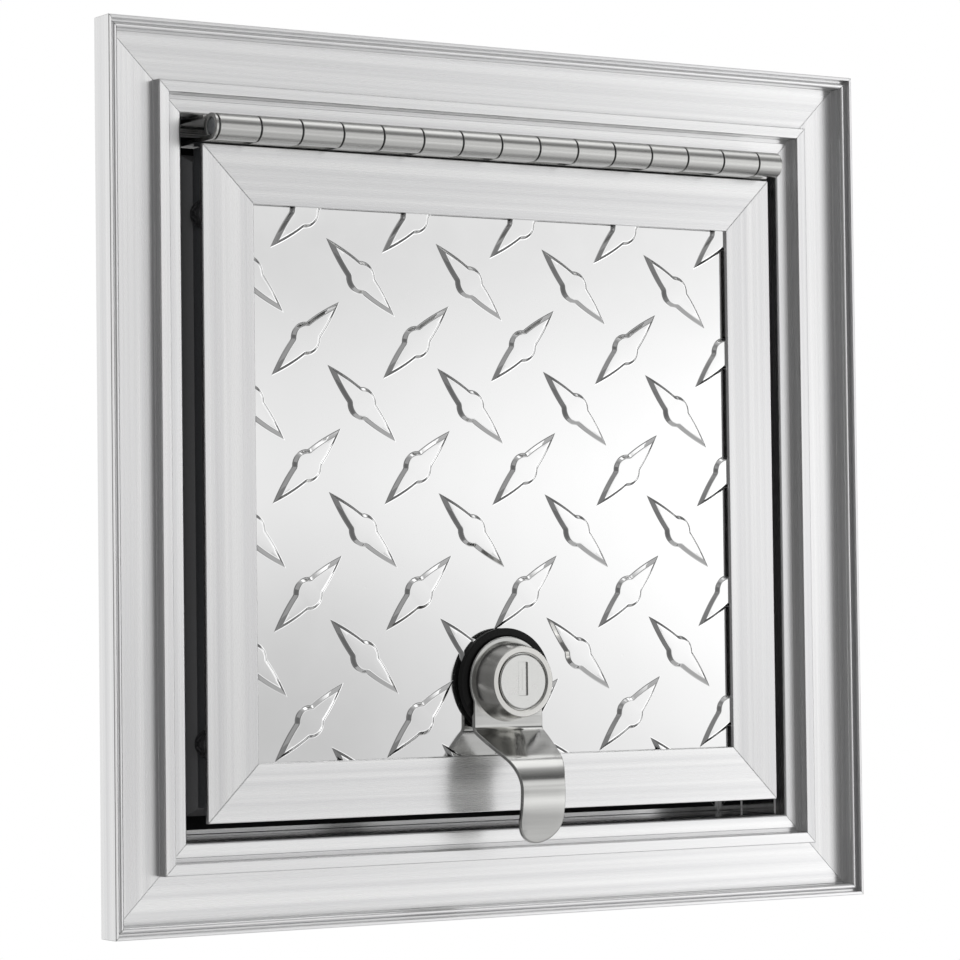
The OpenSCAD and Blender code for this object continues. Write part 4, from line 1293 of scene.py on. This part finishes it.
@dataclass
class KeyLock:
    """The rubber gasket, the tapered head with its threaded body, the plug, and the nut, cam and screw behind."""

    height: float = LOCK_HEIGHT
    hole: float = LOCK_HOLE
    plate: float = -3.6
    gasket: tuple[float, float] = (15.3, -5.7)
    cup: tuple[float, float] = (13.2, -6.3)
    gate: float = 12.0
    head_foot: tuple[float, float] = (11.6, -7.2)
    head_front: tuple[float, float] = (10.2, -15.1)
    bevel: float = 0.35
    bore_depth: float = 12.0
    thread: tuple[float, float, float] = (9.5, 1.0, 0.45)
    end: float = 33.6
    skin: float = 25.2
    plug: float = 8.1
    plug_tail: float = 10.3
    fit: float = 0.06
    groove: tuple[float, float] = (7.85, 1.3)
    key: tuple[float, float, float] = (3.1, 9.5, 0.5)
    key_up: float = 0.8
    nut: tuple[float, float] = (24.0, 4.0)
    cam: tuple[float, float, float, float] = (34.2, 2.5, 37.7, 8.0)
    cam_round: float = 3.0
    screw: tuple[float, float] = (4.5, 3.0)

    def placed(self, points: np.ndarray) -> np.ndarray:
        """Lift points from round the Y axis to the lock's height."""
        return points + np.array([0.0, 0.0, self.height])

    def gasket_ring(self) -> Surface:
        """Give the moulded gasket: a shallow cup on a drawn-in foot, its rim left out below the pull's neck.

        Each ring of points has a depth at the cup's floor and a further reach for the rim; that reach is faded
        out where the ring runs below the lock and nearer to the middle than the gate.

        Returns:
            The closed ring.
        """
        outer, floor = self.gasket
        inner, rim = self.cup
        tall = floor - rim
        table = np.array([
            (self.hole, self.plate, 0), (outer - 0.7, self.plate, 0), (outer - 0.5, self.plate - 0.3, 0),
            (outer - 0.1, self.plate - 0.8, 0), (outer, self.plate - 1.2, 0), (outer, floor + 0.3, 0),
            (outer, floor, tall * 0.6), (outer - 0.12, floor, tall * 0.85), (outer - 0.4, floor, tall),
            (inner + 0.35, floor, tall), (inner + 0.1, floor, tall * 0.85), (inner, floor, tall * 0.6),
            (inner, floor, 0.05), (inner - 0.2, floor, 0), (self.hole, floor, 0)])
        table = np.concatenate([table, table[:1]])
        turn = np.linspace(0, 2 * math.pi, 193)[None, :]
        radius = table[:, :1]
        below = np.sin(turn) < 0
        open_rim = np.where(below, smooth_step(np.abs(radius * np.cos(turn)), self.gate - 0.3, self.gate + 0.5), 1.0)
        depth = table[:, 1:2] - table[:, 2:] * open_rim
        return grid(self.placed(turned(radius, depth, turn)))

    def head(self) -> Surface:
        """Give the tapered head and the plain part of its body, with the bore that the plug turns in.

        Returns:
            The closed turned piece.
        """
        foot_r, foot_y = self.head_foot
        front_r, front_y = self.head_front
        bore = self.plug + self.fit
        body = self.thread[0]
        outline = np.array([
            (bore, front_y + self.bore_depth, 0), (bore, front_y + self.bevel, 0), (bore + self.bevel, front_y, 0.1),
            (front_r - 0.1, front_y, 0.35), (foot_r, foot_y - 0.1, 0.3), (foot_r - 0.1, foot_y, 0),
            (body, foot_y, 0), (body, self.skin, 0), (bore, self.skin, 0)], dtype=float)
        profile = filleted(outline[:, :2], outline[:, 2])
        points = lathed(np.concatenate([profile, profile[:1]]), 144)
        return grid(self.placed(points), turned_grain(points))

    def threaded_end(self) -> Surface:
        """Give the threaded end behind the skin.

        The radius is the outer one less the thread's depth times the distance, in turns, of
        (depth / pitch - angle / full turn) from its nearest whole number, doubled.

        Returns:
            The closed turned piece.
        """
        outer, pitch, deep = self.thread
        turn = np.linspace(0, 2 * math.pi, 73)[None, :]
        depth = np.arange(self.skin, self.end - 0.2, pitch / 6)[:, None]
        phase = depth / pitch - turn / (2 * math.pi)
        near = np.abs(phase - np.round(phase)) * 2
        fade = 1 - smooth_step(depth, self.end - 1.2, self.end - 0.3)
        radius = outer - deep * near * fade - deep * (1 - fade)
        wall = turned(radius, depth, turn)
        shaft = self.plug / 2 + self.fit
        ends = lathed(np.array([(outer - deep, self.end), (shaft, self.end), (shaft, self.skin)]), 72)
        first = lathed(np.array([(shaft, self.skin)]), 72)
        points = np.concatenate([first, wall, ends])
        return grid(self.placed(points), turned_grain(points))

    def plug_with_keyway(self) -> Surface:
        """Give the plug: back, side and bevel are circles, then the rows change to the keyway's rounded outline.

        All rows use the angles at which the keyway's outline points lie, so that the face needs no other points.

        Returns:
            The closed plug.
        """
        width, tall, deep = self.key
        front_y = self.head_front[1]
        corners = np.array([(-width / 2, -tall / 2), (width / 2, -tall / 2), (width / 2, tall / 2),
                            (-width / 2, tall / 2)])
        coarse = filleted(corners, np.full(4, 0.25), 5)
        closed = np.concatenate([coarse, coarse[:1]])
        walked = run_length(closed)
        places = np.unique(np.concatenate([walked, np.linspace(0, walked[-1], 121)]))
        slot = np.stack([np.interp(places, walked, closed[:, 0]), np.interp(places, walked, closed[:, 1])], axis=1)
        angle = np.arctan2(slot[:, 1], slot[:, 0])
        lift = np.array([0.0, self.key_up])

        def ring(radius: float, depth: float) -> np.ndarray:
            """Give a circle at a depth."""
            return turned(radius, depth, angle)

        def keyhole(grow: float, depth: float) -> np.ndarray:
            """Give the keyway's outline at a depth.

            Args:
                grow: how far it is grown outwards.
                depth: where it lies.

            Returns:
                Its points.
            """
            size = 1 + 2 * grow / np.array([width, tall])
            moved = slot * size + lift
            return np.stack([moved[:, 0], np.full(len(slot), depth), moved[:, 1]], axis=1)

        groove_r, groove_y = self.groove
        face = ring(groove_r - self.bevel, front_y)
        rim = keyhole(0.08, front_y)
        shaft, tail = self.plug / 2, self.end - self.plug_tail
        rows = [ring(0.0, self.cam[0]), ring(shaft, self.cam[0]), ring(shaft, tail),
                ring(self.plug, tail), ring(self.plug, front_y + groove_y),
                ring(groove_r, front_y + groove_y), ring(groove_r, front_y + self.bevel),
                ring(groove_r - 0.1, front_y + 0.12), face, 0.5 * (face + rim), rim,
                keyhole(0.02, front_y + 0.03), keyhole(0.0, front_y + 0.1), keyhole(0.0, front_y + deep),
                keyhole(-width / 2 + 0.02, front_y + deep)]
        return grid(self.placed(np.stack(rows)))

    def hexagon(self, flats: float, front: float, back: float, bore: float) -> Surface:
        """Give a chamfered hexagon.

        Its radius at an angle is half the width across flats over the cosine of the angle from the nearest flat;
        the chamfer is a circle on each face that the corners fall away from.

        Args:
            flats: width across flats.
            front: depth of its front.
            back: depth of its back.
            bore: radius of its hole, or 0.

        Returns:
            The closed hexagon.
        """
        sector, chamfer, land, edge = math.pi / 3, math.radians(30), 0.97, 0.15
        turn = np.linspace(0, 2 * math.pi, 97)
        outer = flats / 2 / np.cos((turn + sector / 2) % sector - sector / 2)
        fall = (outer - flats / 2) * math.tan(chamfer)
        inner = np.minimum(outer, flats / 2 * land)
        rows = [(bore, back), (bore, front), (inner, front), (outer, front + fall + edge),
                (outer, back - fall - edge), (inner, back), (bore, back)]
        return grid(self.placed(np.stack([turned(radius, depth, turn) for radius, depth in rows])))

    def cam_plate(self) -> Surface:
        """Give the cam as a flat plate: a round boss and an arm with rounded corners, to the right at rest.

        Returns:
            The closed plate.
        """
        depth, thickness, reach, half = self.cam
        boss = arc((0, 0), half, 90, 270, 33)
        table = np.array([(reach, -half), (reach, half)])
        arm = filleted(np.concatenate([table, [(0, half), (0, -half)]]), np.array([self.cam_round] * 2 + [0, 0]), 9)
        arm = arm[arm[:, 0] > 1]
        outline = np.concatenate([boss, arm]) + np.array([0, self.height])
        return prism(outline, depth, depth + thickness, (0, 2, 1))

    def build(self) -> None:
        """Make and dress the lock's pieces."""
        put("rubber_gasket", self.gasket_ring(), GASKET_RUBBER, "door", ["lock_gasket"])
        put("lock_head", joined([self.head(), self.threaded_end()]), LOCK_NICKEL, "door", ["lock_body"], sharp=28)
        put("turning_plug", self.plug_with_keyway(), PLUG_NICKEL, "plug", ["lock_plug"], sharp=20)
        flats, thick = self.nut
        put("hexagon_nut", self.hexagon(flats, self.skin, self.skin + thick, self.thread[0]), ZINC_STEEL, "door",
            ["lock_nut"])
        put("locking_cam", self.cam_plate(), ZINC_STEEL, "plug", ["lock_cam"], sharp=35, bevel=0.3)
        radius, tall = self.screw
        start = self.cam[0] + self.cam[1]
        put("hexagon_screw", self.hexagon(2 * radius * math.cos(math.pi / 6), start, start + tall, 0.0), ZINC_STEEL,
            "plug", ["cam_screw"])


# The studio

# The windows of a patch that goes all the way round, or from the ground to the top.
ALL_ROUND = (-182.0, -181.0, 181.0, 182.0)
ALL_HEIGHTS = (-92.0, -91.0, 91.0, 92.0)


@dataclass(frozen=True)
class Patch:
    """One soft edged panel, curtain or lit cloth of the tent.

    A window has four angles in degrees: where the patch starts, where it is full, where it begins to fade and
    where it ends. A patch without a level takes the brightness table of the front panel.
    """

    level: float | None
    azimuth: tuple[float, float, float, float] = ALL_ROUND
    height: tuple[float, float, float, float] = ALL_HEIGHTS

    def share(self, azimuth: np.ndarray, height: np.ndarray) -> np.ndarray:
        """Give how much of the patch is seen in a direction.

        Args:
            azimuth: angles round the object.
            height: angles over the horizon.

        Returns:
            Shares from 0 to 1.
        """
        share = np.ones(azimuth.shape)
        for value, (start, full, fade, end) in ((azimuth, self.azimuth), (height, self.height)):
            share = share * smooth_step(value, start, full) * (1 - smooth_step(value, fade, end))
        return share


@dataclass
class Studio:
    """A pale floor, a light tent of soft panels round the object, two soft lamps and the camera."""

    floor_height: float = -300.0
    floor_radius: float = 2400.0
    # Distances in metres between which painted floor gives way to plain white, and the paint's own light.
    floor_fade: tuple[float, float] = (0.7, 1.7)
    floor_lift: float = 0.35
    tent_radius: float = 2500.0
    # Brightness of the front panel at heights in degrees over the horizon, 1 being white.
    panel_light: tuple[tuple[float, float], ...] = (
        (-50, 0.53), (-36, 0.56), (-28, 0.62), (-24, 0.70), (-21, 0.9), (-16, 1.2), (-12, 1.23), (-8, 0.92),
        (-6.5, 0.80), (-4.4, 0.74), (-2.5, 0.80), (-1, 0.88), (0.6, 0.98), (2.3, 1.04), (4.5, 0.97), (6.5, 0.85),
        (8, 0.80), (9.5, 0.95), (12, 1.14), (17, 0.95), (20, 0.76), (21.5, 0.64), (23.5, 0.12), (30, 0.13),
        (36, 0.19), (42, 0.27), (47, 0.45), (51, 0.9), (55, 1.1), (60, 1.1))
    # How much brighter it gets for each degree to the right of what flat faces mirror, at heights in degrees, and
    # how many degrees to the left and right that goes on.
    panel_tilt: tuple[tuple[float, float], ...] = (
        (-30, 0.02), (-8, 0.03), (-3, 0.06), (-0.7, 0.055), (1.5, 0.033), (10, 0.02))
    panel_span: tuple[float, float] = (-4.0, 5.0)
    # How much brighter its left and right ends are, and between which azimuths that sets in.
    panel_left: tuple[float, float, float] = (0.18, 18, 28)
    panel_right: tuple[float, float, float] = (0.35, 37, 45)
    # The tent's cloth, and what is laid over it in turn: the grey front and sides, the ground, the dark cloth at
    # the left and the greyer one above it, the dark cloth at the right, the front panel and the bright one above
    # its right end, the dark curtain that the camera stands in, and the lit top.
    cloth: float = 0.95
    patches: tuple[Patch, ...] = (
        Patch(0.45, (-125, -105, 140, 160)),
        Patch(0.42, height=(-92, -91, -42, -30)),
        Patch(0.14, (-95, -85, 0, 8), (-62, -56, 20, 30)),
        Patch(0.33, (-95, -85, -45, -35), (20, 30, 62, 70)),
        Patch(0.14, (60, 68, 100, 125), (-45, -36, 40, 48)),
        Patch(None, (8, 16, 60, 67), (-66, -56, 44, 48)),
        Patch(None, (48, 56, 88, 118), (44, 47, 64, 72)),
        Patch(0.21, (-58, -50, -20, -8), (-62, -56, 50, 60)),
        Patch(1.3, height=(74, 80, 91, 92)))
    centre: tuple[float, float, float] = (0.0, 0.0, 110.0)
    place: tuple[float, float, float] = (-572.50, -895.52, 72.82)
    yaw: float = 32.3974
    pitch: float = 2.19786
    roll: float = -0.68270
    lens: float = 137.727
    film: float = 36.0
    lamp_size: float = 1.4
    # Name, power in watts, place, and tilt up from straight down and turn to the right, in degrees.
    soft_lamps: tuple[tuple[str, float, tuple[float, float, float], tuple[float, float]], ...] = (
        ("soft_lamp_above", 14.0, (300.0, -1100.0, 1500.0), (38.0, 15.0)),
        ("soft_lamp_left", 24.0, (-1000.0, -1450.0, 500.0), (78.0, -34.0)))

    def tent_light(self, azimuth: np.ndarray, height: np.ndarray) -> np.ndarray:
        """Give the tent's brightness for a direction, both angles in degrees.

        Azimuth 0 is straight in front of the door and 90 to its right. The camera stands at about -32, in the
        middle of the dark curtain, so flat faces mirror the front panel at about 32. The patches are laid over
        the cloth in turn, each by its share.

        Args:
            azimuth: angles round the object.
            height: angles over the horizon.

        Returns:
            The brightness, where 1 is white.
        """
        left, left_full, left_end = self.panel_left
        right, right_start, right_full = self.panel_right
        slope = np.interp(height, *zip(*self.panel_tilt))
        panel = np.interp(height, *zip(*self.panel_light)) * (
            1 + slope * np.clip(azimuth - self.yaw, *self.panel_span)
            + left * (1 - smooth_step(azimuth, left_full, left_end))
            + right * smooth_step(azimuth, right_start, right_full))
        level = np.full(azimuth.shape, self.cloth)
        for patch in self.patches:
            target = panel if patch.level is None else patch.level
            level = level + (target - level) * patch.share(azimuth, height)
        return level

    def tent(self) -> None:
        """Hang the tent: a ball of cloth whose brightness is set at its points, unseen by the camera."""
        steps, levels = 360, 361
        azimuth = np.linspace(-180, 180, steps + 1)[None, :] + np.zeros((levels, 1))
        height = np.linspace(-90, 90, levels)[:, None] + np.zeros((1, steps + 1))
        turn, tilt = np.radians(azimuth), np.radians(height)
        points = np.stack([np.sin(turn) * np.cos(tilt), -np.cos(turn) * np.cos(tilt), np.sin(tilt)], axis=-1)
        surface = grid(points * self.tent_radius + np.array(self.centre))
        mesh = mesh_of("light_tent", surface)
        glow = mesh.attributes.new("glow", "FLOAT", "POINT")
        glow.data.foreach_set("value", self.tent_light(azimuth, height).astype(np.float32).ravel())
        material = blank_material("lit_tent_cloth")
        tree = material.node_tree
        brightness = add_node(tree, "ShaderNodeAttribute", attribute_name="glow").outputs["Fac"]
        cloth = add_node(tree, "ShaderNodeEmission", {"Color": linear("#FFFFFF"), "Strength": brightness})
        add_node(tree, "ShaderNodeOutputMaterial", {"Surface": cloth.outputs[0]})
        material.cycles.emission_sampling = "NONE"
        mesh.materials.append(material)
        ball = shown("light_tent", mesh)
        ball.visible_camera = False
        ball.visible_shadow = False

    def floor(self) -> None:
        """Lay the floor: pale near the object, where it takes the shadow, and plain white further out.

        It is unseen in reflections, so that the metal shows the tent alone.
        """
        radius = np.linspace(0, self.floor_radius, 25)[:, None]
        turn = np.linspace(0, 2 * math.pi, 73)[None, :]
        points = np.stack(np.broadcast_arrays(radius * np.cos(turn), radius * np.sin(turn), self.floor_height),
                          axis=-1)
        surface = grid(points[:, ::-1])
        mesh = mesh_of("studio_floor", surface)
        material = blank_material("pale_floor_paint")
        tree = material.node_tree
        place = add_node(tree, "ShaderNodeTexCoord").outputs["Object"]
        distance = add_node(tree, "ShaderNodeVectorMath", {0: place, 1: (1.0, 1.0, 0.0)}, operation="MULTIPLY")
        length = add_node(tree, "ShaderNodeVectorMath", {0: distance.outputs[0]}, operation="LENGTH")
        near_end, far_start = self.floor_fade
        far = add_node(tree, "ShaderNodeMapRange", {"Value": length.outputs["Value"], "From Min": near_end,
                                                    "From Max": far_start}, interpolation_type="SMOOTHSTEP")
        paint = add_node(tree, "ShaderNodeBsdfDiffuse", {"Color": linear("#F4F4F4")})
        lift = add_node(tree, "ShaderNodeEmission", {"Color": linear("#FFFFFF"), "Strength": self.floor_lift})
        near = add_node(tree, "ShaderNodeAddShader", {0: paint.outputs[0], 1: lift.outputs[0]})
        white = add_node(tree, "ShaderNodeEmission", {"Color": linear("#FFFFFF"), "Strength": 1.0})
        mix = add_node(tree, "ShaderNodeMixShader", {0: far.outputs[0], 1: near.outputs[0], 2: white.outputs[0]})
        add_node(tree, "ShaderNodeOutputMaterial", {"Surface": mix.outputs[0]})
        material.cycles.emission_sampling = "NONE"
        mesh.materials.append(material)
        plate = shown("studio_floor", mesh)
        plate.visible_glossy = False

    def lamps(self) -> None:
        """Hang soft lamps over the front and at its left, so that matt pieces take light as well."""
        for name, energy, place, turn in self.soft_lamps:
            data = bpy.data.lights.new(name, "AREA")
            data.shape = "DISK"
            data.size = self.lamp_size
            data.energy = energy
            lamp = shown(name, data)
            lamp.matrix_world = (Matrix.Translation([value * MM for value in place])
                                 @ Matrix.Rotation(math.radians(turn[1]), 4, "Z")
                                 @ Matrix.Rotation(math.radians(turn[0]), 4, "X"))
            lamp.visible_glossy = False

    def camera(self) -> None:
        """Set the camera where the photograph's was."""
        yaw, pitch, roll = (math.radians(value) for value in (self.yaw, self.pitch, self.roll))
        forward = np.array([math.sin(yaw) * math.cos(pitch), math.cos(yaw) * math.cos(pitch), math.sin(pitch)])
        level = np.array([math.cos(yaw), -math.sin(yaw), 0.0])
        above = np.cross(level, forward)
        right = math.cos(roll) * level + math.sin(roll) * above
        upward = math.cos(roll) * above - math.sin(roll) * level
        data = bpy.data.cameras.new("camera")
        data.lens = self.lens
        data.sensor_width = self.film
        data.sensor_fit = "HORIZONTAL"
        data.clip_start = 0.05
        data.clip_end = 20.0
        turned = np.eye(4)
        turned[:3, :3] = np.stack([right, upward, -forward], axis=1)
        turned[:3, 3] = np.array(self.place) * MM
        camera = shown("camera", data)
        camera.matrix_world = Matrix(turned.tolist())
        bpy.context.scene.camera = camera

    def build(self) -> None:
        """Set up the camera, the tent, the floor, the lamps and the white background."""
        self.camera()
        self.tent()
        self.floor()
        self.lamps()
        world = bpy.data.worlds.new("white_studio")
        world.use_nodes = True
        world.node_tree.nodes["Background"].inputs["Color"].default_value = linear("#FFFFFF")
        world.node_tree.nodes["Background"].inputs["Strength"].default_value = 1.0
        bpy.context.scene.world = world
        bpy.context.scene.view_settings.view_transform = "Standard"


def main() -> None:
    """Build every class in order."""
    logging.basicConfig(level=logging.INFO, format="%(message)s")
    for part in (Studio(), TrimFrame(), DoorFace(), TreadPlate(), LeafBody(), ContinuousHinge(), SideScrews(),
                 FingerPull(), KeyLock()):
        part.build()
        log.info("built: %s", type(part).__name__)


if __name__ == "__main__":
    main()
